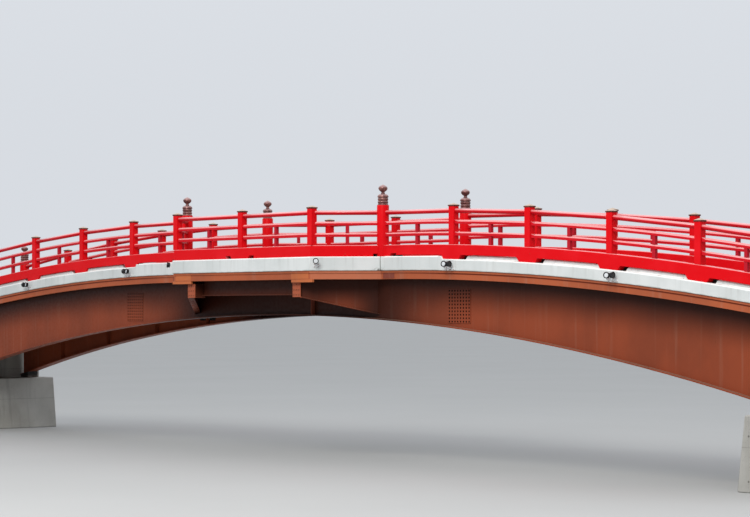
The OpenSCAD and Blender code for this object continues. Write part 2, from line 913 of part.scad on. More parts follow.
module finials() {
    neck_r = neck_d / 2;
    neck_top = shoulder_h + neck_h;
    color(bronze) on_main_posts() translate([0, 0, sleeve_h]) rotate_extrude($fn = round_fn) polygon(concat(
        [[0, 0]],
        [for (i = [0:shoulder_steps]) let (t = i / shoulder_steps)
            [neck_r + (shoulder_r - neck_r) * sqrt(1 - t * t), t * shoulder_h]],
        [for (i = [0:onion_steps - 1]) let (t = i / onion_steps) [onion_r(t), neck_top + t * onion_h]],
        [[0, neck_top + onion_h]]
    ));
}

// Spotlights on the white edge: a can with a rim, on an arm and a wall plate
lamp_rim = 6;
lamp_plate_t = 12;
lamp_strut = 30;

module lamp(yaw) {
    hood = lamp_l / 8;
    rotate([0, 0, yaw]) rotate([-90, 0, 0]) translate([0, 0, -lamp_l / 2]) {
        cylinder(d = lamp_d, h = lamp_l, $fn = round_fn);
        translate([0, 0, lamp_l - hood]) difference() {
            cylinder(d = lamp_d + 2 * lamp_rim, h = 2 * hood, $fn = round_fn);
            translate([0, 0, hood]) cylinder(d = lamp_d - 2 * lamp_rim, h = lamp_l, $fn = round_fn);
        }
    }
}

// Drawn with the white edge's face on the plane y = 0 and the lamps on its +Y side
module lamp_group(yaws) {
    pitch = lamp_d + 4 * lamp_rim;
    low = -lamp_d / 2 - lamp_strut / 2;
    for (i = [0:len(yaws) - 1]) translate([(i - (len(yaws) - 1) / 2) * pitch, 0, 0]) {
        translate([0, lamp_out, 0]) lamp(yaws[i]);
        translate([-lamp_strut / 2, 0, low]) cube([lamp_strut, lamp_out, lamp_strut]);
        translate([-lamp_strut, 0, low - lamp_strut]) cube([2 * lamp_strut, lamp_plate_t, 3 * lamp_strut]);
    }
}

// One lamp beside a platform corner and two pairs along the arm, with their yaws
module spotlights(is_near) {
    pair_past = 60;
    single_at = 170;
    pair_yaws = [-12, -95];
    along = [-cos(turn), sin(turn)];
    at = [platform_x + mitre * edge_out, platform_y + edge_out] - single_at * along;
    near_side(!is_near) both_ends() {
        translate([at[0], at[1], deck_z - lamp_low]) rotate([0, 0, -turn]) lamp_group([0]);
        for (i = [1, 3]) {
            x = corner_x + i * arm_bay + pair_past;
            translate([x, arm_y + edge_out, deck_z + dz(x) - ledge_drop - lamp_low]) lamp_group(pair_yaws);
        }
    }
}

module spotlights_near() {
    color(black) spotlights(true);
}

module spotlights_far() {
    color(black) spotlights(false);
}

abutment_left();
abutment_right();
bearings();
main_girder_near();
main_girder_far();
cross_beams();
outriggers();
edge_beam_near();
edge_beam_far();
bracket_near_right();
bracket_near_left();
bracket_far_right();
bracket_far_left();
bracket_caps();
vent_grilles();
deck_slab();
walkway_paving();
white_edge_near();
white_edge_far();
fascia_near();
fascia_far();
sill_near();
sill_far();
square_posts_near();
square_posts_far();
post_caps_near();
post_caps_far();
main_posts();
third_rail_near();
third_rail_far();
second_rail_near();
second_rail_far();
top_rail_near();
top_rail_far();
struts_near();
struts_far();
finial_sleeves();
finials();
spotlights_near();
spotlights_far();
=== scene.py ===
# %% [markdown]
# # A red garden footbridge, dressed for its portrait
# The bridge arrives as a CAD model: beams, posts, rails and girders, all at real size and in the right
# place. Its solids have perfect corners and no finish. This lesson gives each of them what a maker would:
# eased arrises, joints, bolts and paving, and then lacquer, paint, patina and weather. Almost every piece
# stays exactly where the CAD model has it. The few that are trimmed or made a little smaller to match the
# photo are the plates at the bracket tips and the lamps, and their cells say so.

# %% Load the fixed frame
import math
import bmesh
import bpy
from mathutils import Matrix, Vector


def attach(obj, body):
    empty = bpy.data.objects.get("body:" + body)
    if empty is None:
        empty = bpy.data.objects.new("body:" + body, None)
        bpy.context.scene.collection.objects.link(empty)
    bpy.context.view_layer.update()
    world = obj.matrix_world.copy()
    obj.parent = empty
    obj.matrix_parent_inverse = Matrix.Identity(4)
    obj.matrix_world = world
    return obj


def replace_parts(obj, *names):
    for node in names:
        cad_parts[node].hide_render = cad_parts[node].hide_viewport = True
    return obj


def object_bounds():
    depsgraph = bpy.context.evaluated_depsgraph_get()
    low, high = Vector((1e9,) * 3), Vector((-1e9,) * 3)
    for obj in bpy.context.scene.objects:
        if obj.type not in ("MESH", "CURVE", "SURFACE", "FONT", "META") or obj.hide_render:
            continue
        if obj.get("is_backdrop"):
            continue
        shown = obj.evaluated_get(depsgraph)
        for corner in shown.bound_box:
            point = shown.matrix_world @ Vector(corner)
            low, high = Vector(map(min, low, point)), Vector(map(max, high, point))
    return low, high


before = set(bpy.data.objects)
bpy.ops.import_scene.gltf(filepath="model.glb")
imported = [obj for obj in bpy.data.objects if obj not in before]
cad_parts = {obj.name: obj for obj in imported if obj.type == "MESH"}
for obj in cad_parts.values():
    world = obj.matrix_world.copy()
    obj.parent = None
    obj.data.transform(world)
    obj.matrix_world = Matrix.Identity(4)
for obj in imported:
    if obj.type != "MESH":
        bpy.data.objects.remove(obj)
cad_low, cad_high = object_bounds()
print("nodes in the frame:", len(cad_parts))
print("CAD box from", [round(v, 3) for v in cad_low], "to", [round(v, 3) for v in cad_high])

# %% [markdown]
# ## The line that everything follows
# The platform in the middle is level. Both arms fall away along one camber, which is built of straight
# lengths of 0.61 m. Joints, bolts and stains are placed along the same line, so it is written here once,
# from the same few sizes that the solids were made with. `deck_height` gives the top of the white edge beam
# anywhere along the bridge, and `arch_height` gives the underside of the girders.

# %% Sizes of the bridge, in metres
DECK_Z = 4.9
ARM_Y = 1.36
PLATFORM_Y = 2.56
PLATFORM_X = 2.69
CORNER_X = 3.89
BAY = 2.44
END_X = CORNER_X + 5 * BAY
LEVEL_X = CORNER_X + 0.2
FACET = BAY / 4
CAMBER_R = 75.0
ARCH_R = 68.0
ARCH_CROWN = 1.4
EDGE_H = 0.335
EDGE_OUT = 0.13
GIRDER_Y = 1.24
MITRE = math.tan(math.radians(22.5))


def in_facets(distance, radius):
    step = math.floor(distance / FACET)
    share = distance / FACET - step
    drop = [math.sqrt(radius ** 2 - (k * FACET) ** 2) - radius for k in (step, step + 1)]
    return drop[0] * (1 - share) + drop[1] * share


def deck_height(x):
    return DECK_Z + in_facets(max(0.0, abs(x) - LEVEL_X), CAMBER_R)


def arch_height(x):
    return DECK_Z - ARCH_CROWN + in_facets(abs(x), ARCH_R)


print("deck at the middle, first post and end:",
      [round(deck_height(x), 3) for x in (0, CORNER_X + BAY, END_X)])

# %% [markdown]
# ## A small kit for wiring nodes
# Both materials and Geometry Nodes are trees of boxes joined by wires. Writing each box in three lines
# hides what the tree does, so `add` makes a box, sets its switches and plugs in its inputs in one line: an
# input that is given a socket gets a wire, and any other gets a plain value. Every socket and every node
# knows its own tree, as its `id_data`, so the other helpers find the tree by themselves.

# %% Helpers that add nodes
def add(tree, kind, wires=None, **switches):
    node = tree.nodes.new(kind)
    for name, value in switches.items():
        setattr(node, name, value)
    for name, value in (wires or {}).items():
        if isinstance(value, bpy.types.NodeSocket):
            tree.links.new(value, node.inputs[name])
        else:
            node.inputs[name].default_value = value
    return node


def reckon(operation, first, second=0.0):
    tree = (first if isinstance(first, bpy.types.NodeSocket) else second).id_data
    return add(tree, "ShaderNodeMath", {0: first, 1: second}, operation=operation).outputs[0]


def times(first, *others):
    for other in others:
        first = reckon("MULTIPLY", first, other)
    return first


def less(first, second):
    return reckon("SUBTRACT", first, second)


def along(vector, axis):
    """One number of a vector: 0 is X, 1 is Y and 2 is Z."""
    return add(vector.id_data, "ShaderNodeSeparateXYZ", {0: vector}).outputs[axis]


# %% [markdown]
# ## Building blocks of a finish
# A painted surface outdoors is never one colour. Large soft clouds show where the sun bleached it, narrow
# streaks run down where rain runs, and a fine grain catches the light. All of these are noise textures that
# are stretched and sharpened in different ways, and `marks` makes one in one line. They read Object
# coordinates, which are metres on this bridge, so every pattern has a real size. A finish is then a base
# colour and a list of coats, which `dress` lays one over another as a painter would.

# %% Helpers for patterns and coats
def noise(where, scale, stretch=(1, 1, 1), detail=3.0):
    tree = where.id_data
    mapped = add(tree, "ShaderNodeMapping", {"Vector": where, "Scale": stretch}).outputs[0]
    return add(tree, "ShaderNodeTexNoise", {"Vector": mapped, "Scale": scale, "Detail": detail}).outputs[0]


def sharpen(value, low, high, to_low=0.0, to_high=1.0):
    ends = {0: value, 1: low, 2: high, 3: to_low, 4: to_high}
    return add(value.id_data, "ShaderNodeMapRange", ends, interpolation_type="SMOOTHSTEP").outputs[0]


def marks(where, scale, low, high, most=1.0, least=0.0, stretch=(1, 1, 1), detail=5):
    """Noise with soft edges: `least` where it stays below `low`, and `most` where it passes `high`."""
    return sharpen(noise(where, scale, stretch, detail), low, high, least, most)


def surface(name, roughness, metallic=0.0, specular=0.25, coat_roughness=0.08):
    material = bpy.data.materials.new(name)
    material.use_nodes = True
    tree = material.node_tree
    shader = tree.nodes["Principled BSDF"]
    shader.inputs["Roughness"].default_value = roughness
    shader.inputs["Metallic"].default_value = metallic
    shader.inputs["Specular IOR Level"].default_value = specular
    shader.inputs["Coat Roughness"].default_value = coat_roughness
    where = add(tree, "ShaderNodeTexCoord").outputs["Object"]
    return material, shader, where


def dress(shader, base, coats):
    """Lays coats over a base colour, each given as its share of the surface and its colour."""
    base = (*base, 1.0)
    for share, tint in coats:
        mix = add(shader.id_data, "ShaderNodeMix", {0: share, 6: base, 7: (*tint, 1.0)}, data_type="RGBA")
        base = mix.outputs[2]
    drive(shader, "Base Color", base)


def drive(node, label, value):
    node.id_data.links.new(value, node.inputs[label])


def relief(shader, height, distance, strength):
    settings = {"Height": height, "Distance": distance, "Strength": strength}
    bump = add(shader.id_data, "ShaderNodeBump", settings)
    drive(shader, "Normal", bump.outputs[0])


# %% [markdown]
# ## Where weather works
# Water, dust and sun know where a point is: how far below the deck line, how far from the middle of the
# bridge, and whether its face looks up. These helpers turn a place into such a number, and the same numbers
# also place the painted light and shade. They use distances from the middle, so the four quarters of the
# bridge weather alike.

# %% Helpers for places
def from_middle(where, axis=0):
    return reckon("ABSOLUTE", along(where, axis))


def height_over_deck(where):
    """How high a point is over the cambered deck line, which is where water runs from."""
    past = reckon("MAXIMUM", less(from_middle(where), LEVEL_X), 0.0)
    drop = reckon("DIVIDE", reckon("POWER", past, 2.0), 2 * CAMBER_R)
    return reckon("ADD", less(along(where, 2), DECK_Z), drop)


def upward(where, low=0.5, high=0.95):
    """1 on faces that look at the sky, where dust lies and where the painted highlights go."""
    normal = add(where.id_data, "ShaderNodeNewGeometry").outputs["Normal"]
    return sharpen(along(normal, 2), low, high)


def joints(where, pitch, width, start):
    """1 on narrow upright lines across the bridge, at every pitch from the start, the same at both ends.

    The count begins 20 pitches early, because the ping-pong sum wants numbers above zero."""
    past = less(from_middle(where), start - 20 * pitch)
    return sharpen(reckon("PINGPONG", past, pitch / 2), width, width / 3)


# %% [markdown]
# ## Vermilion lacquer
# The parapets are timber under many coats of glossy vermilion. The real coat is thick enough to hide the
# grain, but brush marks follow the length of each stick, and damp has darkened the paint in patches. Faces
# that look up are tinted pale pink as a painted highlight, and a clear coat over a rougher colour gives the
# crisp gloss on the upper arrises. Rails lie along the bridge and posts stand up, so the brush marks need
# two directions. The struts between the rails are darkened towards crimson as painted shade, and the thin
# rails get a smaller share of the same painted shade, and so one recipe makes four finishes.

# %% Lacquer for rails and for posts
VERMILION = (0.72, 0.003, 0.007)
VERMILION_FADED = (0.76, 0.008, 0.014)
VERMILION_DAMP = (0.46, 0.003, 0.006)
CRIMSON_SHADE = (0.42, 0.014, 0.028)
SKY_HIGHLIGHT_PINK = (0.92, 0.42, 0.42)
BARE_WOOD = (0.20, 0.075, 0.040)
ALONG, UPRIGHT = (0.06, 1, 1), (1, 1, 0.06)


def lacquer(name, stretch, crimson_shade=0.0, highlight_share=0.60, sky_low=0.30, sky_high=0.75):
    material, shader, where = surface(name, roughness=0.34, specular=0.08, coat_roughness=0.12)
    skyward = upward(where, sky_low, sky_high)
    chips = marks(where, 26.0, 0.735, 0.76, detail=6)
    # Painted shade: a share of darker crimson, most on the struts. Painted highlight: faces that look up
    # are tinted pale pink.
    dress(shader, VERMILION, [
        (marks(where, 1.3, 0.45, 0.75, detail=4), VERMILION_FADED),
        (marks(where, 2.6, 0.56, 0.80, 0.55, stretch=stretch), VERMILION_DAMP),
        (crimson_shade, CRIMSON_SHADE),
        (times(skyward, highlight_share), SKY_HIGHLIGHT_PINK),
        (chips, BARE_WOOD)])
    drive(shader, "Coat Weight", times(skyward, 0.7))
    brush = noise(where, 60.0, stretch, detail=4)
    drive(shader, "Roughness", sharpen(brush, 0.2, 0.8, 0.27, 0.46))
    relief(shader, less(brush, chips), 0.0012, 0.55)
    return material


sill_lacquer = lacquer("vermilion_sills", ALONG)
# The rails get a smaller share of the crimson painted shade, and the pink painted highlight on more of
# their upper faces.
rail_lacquer = lacquer("vermilion_rails", ALONG, crimson_shade=0.42, highlight_share=0.78, sky_low=0.05, sky_high=0.55)
post_lacquer = lacquer("vermilion_posts", UPRIGHT)
# The struts get the largest share of the crimson painted shade.
strut_lacquer = lacquer("vermilion_struts", UPRIGHT, crimson_shade=0.85)
print("lacquers:", [m.name for m in (sill_lacquer, rail_lacquer, post_lacquer, strut_lacquer)])

# %% [markdown]
# ## White paint on the concrete edge
# The edge beam is cast concrete with white masonry paint. Rain carries dirt over its arris and leaves grey
# streaks that start at the top and fade out, and the lowest centimetres stay damp and green-grey. The
# streaks are noise that is stretched tall, and their strength comes from the height below the deck line.
# The chamfer along the top is whitened as a painted highlight, while dust lies on the level top behind it.
# The beam was cast in short lengths, and the mitre at each corner has cracked into a black line; close to
# the mitre the lower part of the white is darkened, broken up by noise, as painted shade in the inner
# corner.

# %% White masonry paint
WHITE_DULL, WHITE_FRESH, WHITE_HIGHLIGHT = (0.60, 0.63, 0.62), (0.70, 0.72, 0.71), (0.90, 0.93, 0.90)
STREAK_GREY, DAMP_GREEN, DUST_GREY = (0.36, 0.36, 0.33), (0.24, 0.24, 0.19), (0.30, 0.30, 0.27)
SEAM_STAIN, SEAM_LINE, MITRE_CRACK_AND_SHADE = (0.42, 0.43, 0.40), (0.26, 0.26, 0.24), (0.10, 0.09, 0.07)

white_paint, shader, where = surface("white_masonry_paint", roughness=0.62)
height = height_over_deck(where)
streaks = marks(where, 9.0, 0.50, 0.74, stretch=(1, 1, 0.07))
fading = sharpen(height, -0.34, 0.0, 0.08, 0.30)
foot = sharpen(height, -0.30, -EDGE_H)
damp = marks(where, 5.0, 0.3, 0.65, stretch=(1, 1, 0.3), detail=3)
top_dirt = marks(where, 7.0, 0.42, 0.62, 0.6, 0.1, detail=6)
seams = times(joints(where, FACET, 0.006, LEVEL_X), 0.15)
seam_dirt = times(joints(where, FACET, 0.09, LEVEL_X), noise(where, 8.0, detail=5))
from_mitre = less(from_middle(where), CORNER_X + MITRE * EDGE_OUT)
from_mitre = reckon("ABSOLUTE", from_mitre)
# Painted shade: the white is darkened near the mitre, towards its lower edge, in the inner corner.
mitre_shade = times(sharpen(from_mitre, 0.16, 0.02), sharpen(height, -0.24, -0.34),
                   marks(where, 22.0, 0.42, 0.56))
crack = times(sharpen(from_mitre, 0.013, 0.006), 0.7)
# The chamfer and other faces that look up get the painted highlight; the mitre gets its black crack and
# painted shade.
dress(shader, WHITE_DULL, [
    (marks(where, 0.9, 0.35, 0.7), WHITE_FRESH),
    (times(streaks, fading), STREAK_GREY),
    (times(foot, damp, 0.55), DAMP_GREEN),
    (times(upward(where, 0.35, 0.60), 0.85), WHITE_HIGHLIGHT),
    (times(upward(where, 0.85, 0.97), top_dirt), DUST_GREY),
    (times(seam_dirt, 0.08), SEAM_STAIN),
    (seams, SEAM_LINE),
    (reckon("MAXIMUM", mitre_shade, crack), MITRE_CRACK_AND_SHADE)])
relief(shader, less(noise(where, 45.0, detail=7), seams), 0.003, 0.5)
print("white edge:", white_paint.name)

# %% [markdown]
# ## Brown steel paint
# Fascia, brackets and girders share one chocolate paint, but the steel under the deck is given a darker
# copy of it as painted shade. On the fascia, water from the white edge leaves paler chalky runs, and rust
# breaks out in small freckles. The webs are darkened from the top down as painted shade, where the deck
# shades them, and only their lower part keeps the plain brown. Under the wide platform in the middle the
# whole web is dark, again as painted shade. Along the arms a painted shadow lies just under the lip of the
# fascia, and the splayed faces and the end faces at the platform edge are lightened as painted light. One
# recipe serves all of them.

# %% Paint for steel in painted shade and for steel in the light
CHALKY_RUN, RUST, DUST_BROWN = (0.36, 0.20, 0.14), (0.13, 0.035, 0.012), (0.22, 0.17, 0.13)
SHADE_DARK, TIP_LIGHT = (0.012, 0.004, 0.003), (0.38, 0.095, 0.045)
LIP_SHADOW, SPLAY_LIGHT = (0.15, 0.018, 0.006), (0.58, 0.20, 0.11)


def painted_deck_shade(where):
    """Painted shade under the deck, and painted light on the end faces of the outriggers."""
    x, y = from_middle(where, 0), from_middle(where, 1)
    low = sharpen(height_over_deck(where), -0.66, -1.45)
    beside = sharpen(y, ARM_Y - 0.1, ARM_Y + 0.5)
    past_platform = reckon("MAXIMUM", sharpen(x, 3.5, 6.4), beside)
    in_shade = less(1.0, times(low, past_platform))
    # Painted shade: near black from the top of the web down and all over under the platform; painted light
    # on the end faces.
    return [(times(in_shade, 0.88), SHADE_DARK),
            (sharpen(y, PLATFORM_Y - 0.03, PLATFORM_Y - 0.015), TIP_LIGHT)]


def lip_shadow_and_splay_light(where):
    """A painted shadow under the lip along the arms, and painted light on the splayed faces."""
    height, x = height_over_deck(where), from_middle(where)
    # Painted shadow: a dark band just under the lip, growing along the arms.
    line = times(sharpen(height, -0.432, -0.412), sharpen(height, -0.388, -0.392),
                 sharpen(x, CORNER_X + 0.3, CORNER_X + 2.8, 0.10, 0.85))
    # Painted light: the splayed faces are lightened.
    splayed = times(sharpen(x, PLATFORM_X + 0.01, PLATFORM_X + 0.05),
                    sharpen(x, CORNER_X + 0.06, CORNER_X + 0.02), 0.5)
    return [(line, LIP_SHADOW), (splayed, SPLAY_LIGHT)]


def steel_paint(name, fresh, aged, weather, places=None):
    material, shader, where = surface(name, roughness=0.45, specular=0.12)
    runs = marks(where, 7.0, 0.55, 0.78, weather, stretch=(1, 1, 0.05), detail=4)
    rust = times(marks(where, 17.0, 0.70, 0.76, 0.9, detail=7),
                 marks(where, 1.1, 0.45, 0.6, detail=3))
    dress(shader, fresh, [
        (marks(where, 0.8, 0.38, 0.66, stretch=(1, 1, 0.6)), aged),
        (runs, CHALKY_RUN),
        (rust, RUST),
        *(places(where) if places else []),
        (times(upward(where), 0.5), DUST_BROWN)])
    drive(shader, "Roughness", marks(where, 12.0, 0.3, 0.7, 0.58, 0.34))
    relief(shader, reckon("ADD", noise(where, 160.0, detail=2), rust), 0.0008, 0.45)
    return material


# The steel under the deck takes a darker copy of the fascia's paint, as painted shade.
under_deck_shade_paint = steel_paint("brown_steel_paint_shaded", (0.265, 0.055, 0.022), (0.210, 0.046, 0.020), 0.20, painted_deck_shade)
fascia_paint = steel_paint("brown_fascia_paint", (0.43, 0.105, 0.042), (0.35, 0.088, 0.038), 0.35,
                           lip_shadow_and_splay_light)
cover_paint = steel_paint("brown_cover_paint", (0.25, 0.060, 0.036), (0.21, 0.055, 0.036), 0.20)
# A paler copy of the brown paint; on the bracket cap plates it is painted light against the shade under the
# fascia.
patch_and_cap_light_paint = steel_paint("brown_patch_paint", (0.52, 0.145, 0.050), (0.44, 0.125, 0.046), 0.20)
print("steel paints:", [m.name for m in (under_deck_shade_paint, fascia_paint, cover_paint, patch_and_cap_light_paint)])

# %% [markdown]
# ## Bare concrete
# The deck slab and the abutments are cast concrete. Its grey is cloudy, it has small round air holes from
# casting, and rain has drawn dark runs down the walls. The formwork was made of panels, and their joints
# have left a square net of fine lines.

# %% Concrete
CONCRETE_GREY, CONCRETE_PALE, RUN_DARK = (0.33, 0.32, 0.29), (0.46, 0.45, 0.42), (0.17, 0.165, 0.15)
PORE_DARK, PANEL_LINE = (0.12, 0.12, 0.11), (0.15, 0.145, 0.13)
PANEL = 0.9

concrete, shader, where = surface("cast_concrete", roughness=0.85)
pores = add(where.id_data, "ShaderNodeTexVoronoi", {"Vector": where, "Scale": 22.0})
pores = sharpen(pores.outputs["Distance"], 0.16, 0.10)
lifts = sharpen(reckon("PINGPONG", along(where, 2), PANEL / 2), 0.008, 0.003)
lifts = reckon("MAXIMUM", lifts, joints(where, PANEL, 0.008, PANEL / 2))
dress(shader, CONCRETE_GREY, [
    (marks(where, 0.7, 0.35, 0.68, detail=6), CONCRETE_PALE),
    (marks(where, 3.2, 0.52, 0.74, 0.55, stretch=(1, 1, 0.06)), RUN_DARK),
    (times(pores, 0.6), PORE_DARK),
    (times(lifts, 0.5), PANEL_LINE)])
grain = reckon("ADD", noise(where, 70.0, detail=8), lifts)
relief(shader, less(grain, pores), 0.004, 0.5)
print("concrete:", concrete.name)

# %% [markdown]
# ## Paving stone and its mortar
# The walkway is laid with split stone slabs. Each slab has its own shade, which a Voronoi texture with
# large cells could fake, but real slabs have straight joints, so the shade comes from a random number that
# Geometry Nodes gives to each slab and stores on the mesh as `slab_shade`.

# %% Stone with a shade for each slab, and mortar
STONE_DARK, STONE_PALE, STONE_STAIN = (0.25, 0.22, 0.19), (0.40, 0.36, 0.31), (0.18, 0.165, 0.15)
STONE_SPECK, MORTAR_DARK, MORTAR_PALE = (0.52, 0.49, 0.45), (0.13, 0.12, 0.11), (0.24, 0.23, 0.21)

paving_stone, shader, where = surface("paving_stone", roughness=0.78)
slab_shade = add(shader.id_data, "ShaderNodeAttribute", attribute_name="slab_shade").outputs["Fac"]
dress(shader, STONE_DARK, [
    (slab_shade, STONE_PALE),
    (marks(where, 6.0, 0.4, 0.7, 0.5, detail=7), STONE_STAIN),
    (marks(where, 190.0, 0.62, 0.70, 0.6, detail=2), STONE_SPECK)])
relief(shader, noise(where, 55.0, detail=8), 0.003, 0.5)

mortar, shader, where = surface("joint_mortar", roughness=0.95)
dress(shader, MORTAR_DARK, [(noise(where, 30.0, detail=6), MORTAR_PALE)])
relief(shader, noise(where, 120.0, detail=6), 0.002, 0.7)
print("paving:", paving_stone.name, mortar.name)

# %% [markdown]
# ## Bronze, sheet metal, black paint, rubber and glass
# The finials are cast bronze that has darkened to a plum brown; faces that look up are paler, a painted
# highlight. The post caps are folded sheet copper, brown on the skirt and tan on top as a painted
# highlight.
# The lamps are matt black on galvanised brackets, the bearings are rubber between steel plates, and the
# bolts in the steelwork are painted over with it.

# %% Patina bronze
PLUM, BROWN_BRONZE = (0.13, 0.045, 0.043), (0.28, 0.13, 0.11)
BRONZE_HIGHLIGHT, VERDIGRIS = (0.62, 0.42, 0.40), (0.10, 0.17, 0.13)

bronze, shader, where = surface("patina_bronze", roughness=0.30, metallic=0.45)
# Painted highlight: faces that look up are paler.
dress(shader, PLUM, [
    (marks(where, 9.0, 0.35, 0.7), BROWN_BRONZE),
    (times(upward(where, 0.15, 0.9), 0.60), BRONZE_HIGHLIGHT),
    (marks(where, 24.0, 0.62, 0.74, 0.35, stretch=(1, 1, 0.35), detail=6), VERDIGRIS)])
drive(shader, "Roughness", marks(where, 18.0, 0.3, 0.7, 0.50, 0.24))
relief(shader, noise(where, 85.0, detail=5), 0.001, 0.5)

# %% Weathered sheet copper
COPPER_DARK, COPPER_BROWN, COPPER_HIGHLIGHT = (0.10, 0.030, 0.024), (0.19, 0.065, 0.050), (0.60, 0.47, 0.36)

cap_metal, shader, where = surface("cap_sheet_copper", roughness=0.45, metallic=0.25)
# Painted highlight: the top is tan.
dress(shader, COPPER_DARK, [
    (marks(where, 6.0, 0.35, 0.7, detail=6), COPPER_BROWN),
    (times(upward(where), 0.90), COPPER_HIGHLIGHT)])
relief(shader, noise(where, 30.0, detail=5), 0.0015, 0.4)
print("metals:", bronze.name, cap_metal.name)

# %% Black paint, rubber, bolts and lamp glass
def plain_finish(name, dark, pale, scale, roughness, metallic=0.0):
    material, shader, where = surface(name, roughness=roughness, metallic=metallic)
    dress(shader, dark, [(marks(where, scale, 0.3, 0.7), pale)])
    relief(shader, noise(where, scale * 9, detail=4), 0.001, 0.4)
    return material


def lens_glass(name, dark, pale, roughness, specular):
    material, shader, where = surface(name, roughness=roughness, specular=specular)
    dress(shader, dark, [(noise(where, 14.0), pale)])
    return material


black_paint = plain_finish("lamp_black_paint", (0.010, 0.010, 0.011), (0.032, 0.032, 0.034), 16.0, 0.42)
shade_black = plain_finish("painted_shade_black", (0.006, 0.006, 0.006), (0.018, 0.015, 0.014), 12.0, 0.85)
galvanised = plain_finish("galvanised_steel", (0.66, 0.68, 0.68), (0.84, 0.85, 0.85), 22.0, 0.45, 0.10)
rubber = plain_finish("bearing_rubber", (0.018, 0.018, 0.018), (0.045, 0.043, 0.040), 11.0, 0.75)
pad_steel = plain_finish("bearing_steel", (0.16, 0.10, 0.07), (0.28, 0.25, 0.22), 14.0, 0.55, 0.7)
bolt_zinc = plain_finish("painted_bolt", (0.24, 0.070, 0.035), (0.33, 0.10, 0.05), 40.0, 0.40)
glass = lens_glass("lamp_glass", (0.62, 0.65, 0.67), (0.78, 0.80, 0.81), 0.08, 0.5)
# Painted reflection: a near-black lens colour for the dark face of the lamp that looks along the bridge.
dark_reflection_glass = lens_glass("dark_reflection_lamp_glass", (0.012, 0.011, 0.011), (0.035, 0.030, 0.030), 0.10, 0.35)
small = (black_paint, shade_black, galvanised, rubber, pad_steel, bolt_zinc, glass, dark_reflection_glass)
print("small finishes:", [m.name for m in small])

# %% [markdown]
# ## Easing the arrises of a solid
# No real timber or plate has a perfect edge: a plane or a grinder breaks it, and the narrow facet that is
# left is what catches the light. The CAD mesh must not change, so each piece is a copy. Its loose triangles
# are merged, flat faces are dissolved back to one face each, and the sharp edges are bevelled. Rails and
# sills also get a wide weathered chamfer on top, so that rain runs off; from below that facet, together
# with the pink painted highlight that the lacquer puts on faces that look up, shows as the bright line
# along each rail. Flat faces stay flat shaded, and only the bevels and the sides of round posts are
# smoothed.

# %% Helpers that make an eased copy of a CAD node
FLAT, SHARP = math.radians(0.15), math.radians(28)
ROUND_FROM, ROUND_TO = math.radians(1.5), math.radians(16)
SHORTEST_STICK = 0.25


def merged(mesh, gap=2e-5):
    shape = bmesh.new()
    shape.from_mesh(mesh)
    bmesh.ops.remove_doubles(shape, verts=shape.verts, dist=gap)
    bmesh.ops.dissolve_limit(shape, angle_limit=FLAT, verts=shape.verts, edges=shape.edges)
    return shape


def bevel_edges(shape, edges, width, segments):
    made = bmesh.ops.bevel(shape, geom=edges, offset=width, offset_type="OFFSET", segments=segments,
                           profile=0.5, affect="EDGES", clamp_overlap=False)
    return made["faces"]


def long_top_edges(shape):
    """Edges between a top face and a side face that run along the stick."""
    chosen = []
    for edge in shape.edges:
        if len(edge.link_faces) != 2 or edge.calc_length() < SHORTEST_STICK:
            continue
        side, top = sorted(f.normal.z for f in edge.link_faces)
        if top > 0.95 and abs(side) < 0.2:
            chosen.append(edge)
    return chosen


def smooth_round_sides(shape):
    for edge in shape.edges:
        if len(edge.link_faces) == 2 and ROUND_FROM < edge.calc_face_angle(0.0) < ROUND_TO:
            for face in edge.link_faces:
                face.smooth = True


def refinish(mesh, finish):
    mesh.materials.clear()
    mesh.materials.append(finish)


def linked(name, data):
    thing = bpy.data.objects.new(name, data)
    bpy.context.scene.collection.objects.link(thing)
    return thing


def new_piece(name, mesh, finish):
    """Links a piece that rides with the bridge; without a finish it keeps the one its mesh has."""
    piece = linked(name, mesh)
    if finish is not None:
        refinish(mesh, finish)
    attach(piece, "root")
    print(name, "has", len(mesh.polygons), "faces")
    return piece


def ease(node, width, finish, chamfer=0.0, segments=2):
    shape = merged(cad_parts[node].data)
    smooth_round_sides(shape)
    if chamfer:
        bevel_edges(shape, long_top_edges(shape), chamfer, 1)
    sharp = [e for e in shape.edges if len(e.link_faces) == 2 and e.calc_face_angle(0.0) > SHARP]
    for face in bevel_edges(shape, sharp, width, segments):
        face.smooth = True
    mesh = bpy.data.meshes.new(node + "_eased")
    shape.to_mesh(mesh)
    shape.free()
    piece = new_piece(node + "_eased", mesh, finish)
    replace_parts(piece, node)
    return piece


# %% [markdown]
# ## Timber parapets
# Sills, rails, struts and posts are planed timber. Their arrises are rounded to 3 to 7 mm, and the sill and
# the two square rails have the weathered top. Round rails and posts only need their ends eased and their
# sides smoothed. The caps on the square posts are sheet copper, folded tightly.

# %% Ease the timbers
for side in ("near", "far"):
    ease(f"sill_{side}", 0.004, sill_lacquer, chamfer=0.013)
    ease(f"second_rail_{side}", 0.004, rail_lacquer, chamfer=0.036)
    ease(f"third_rail_{side}", 0.004, rail_lacquer, chamfer=0.028)
    ease(f"top_rail_{side}", 0.003, rail_lacquer, segments=1)
    ease(f"struts_{side}", 0.004, strut_lacquer)
    ease(f"square_posts_{side}", 0.007, post_lacquer)
    ease(f"post_caps_{side}", 0.003, cap_metal)
ease("main_posts", 0.005, post_lacquer)

# %% [markdown]
# ## Plates, edges and walls
# Steel plates keep crisp edges of 2 to 4 mm, thick with paint. The white edge beam has 10 mm edges, as
# formwork gives, and a wider chamfer along its top. The abutments have 25 mm, because a sharp concrete
# corner would break off.

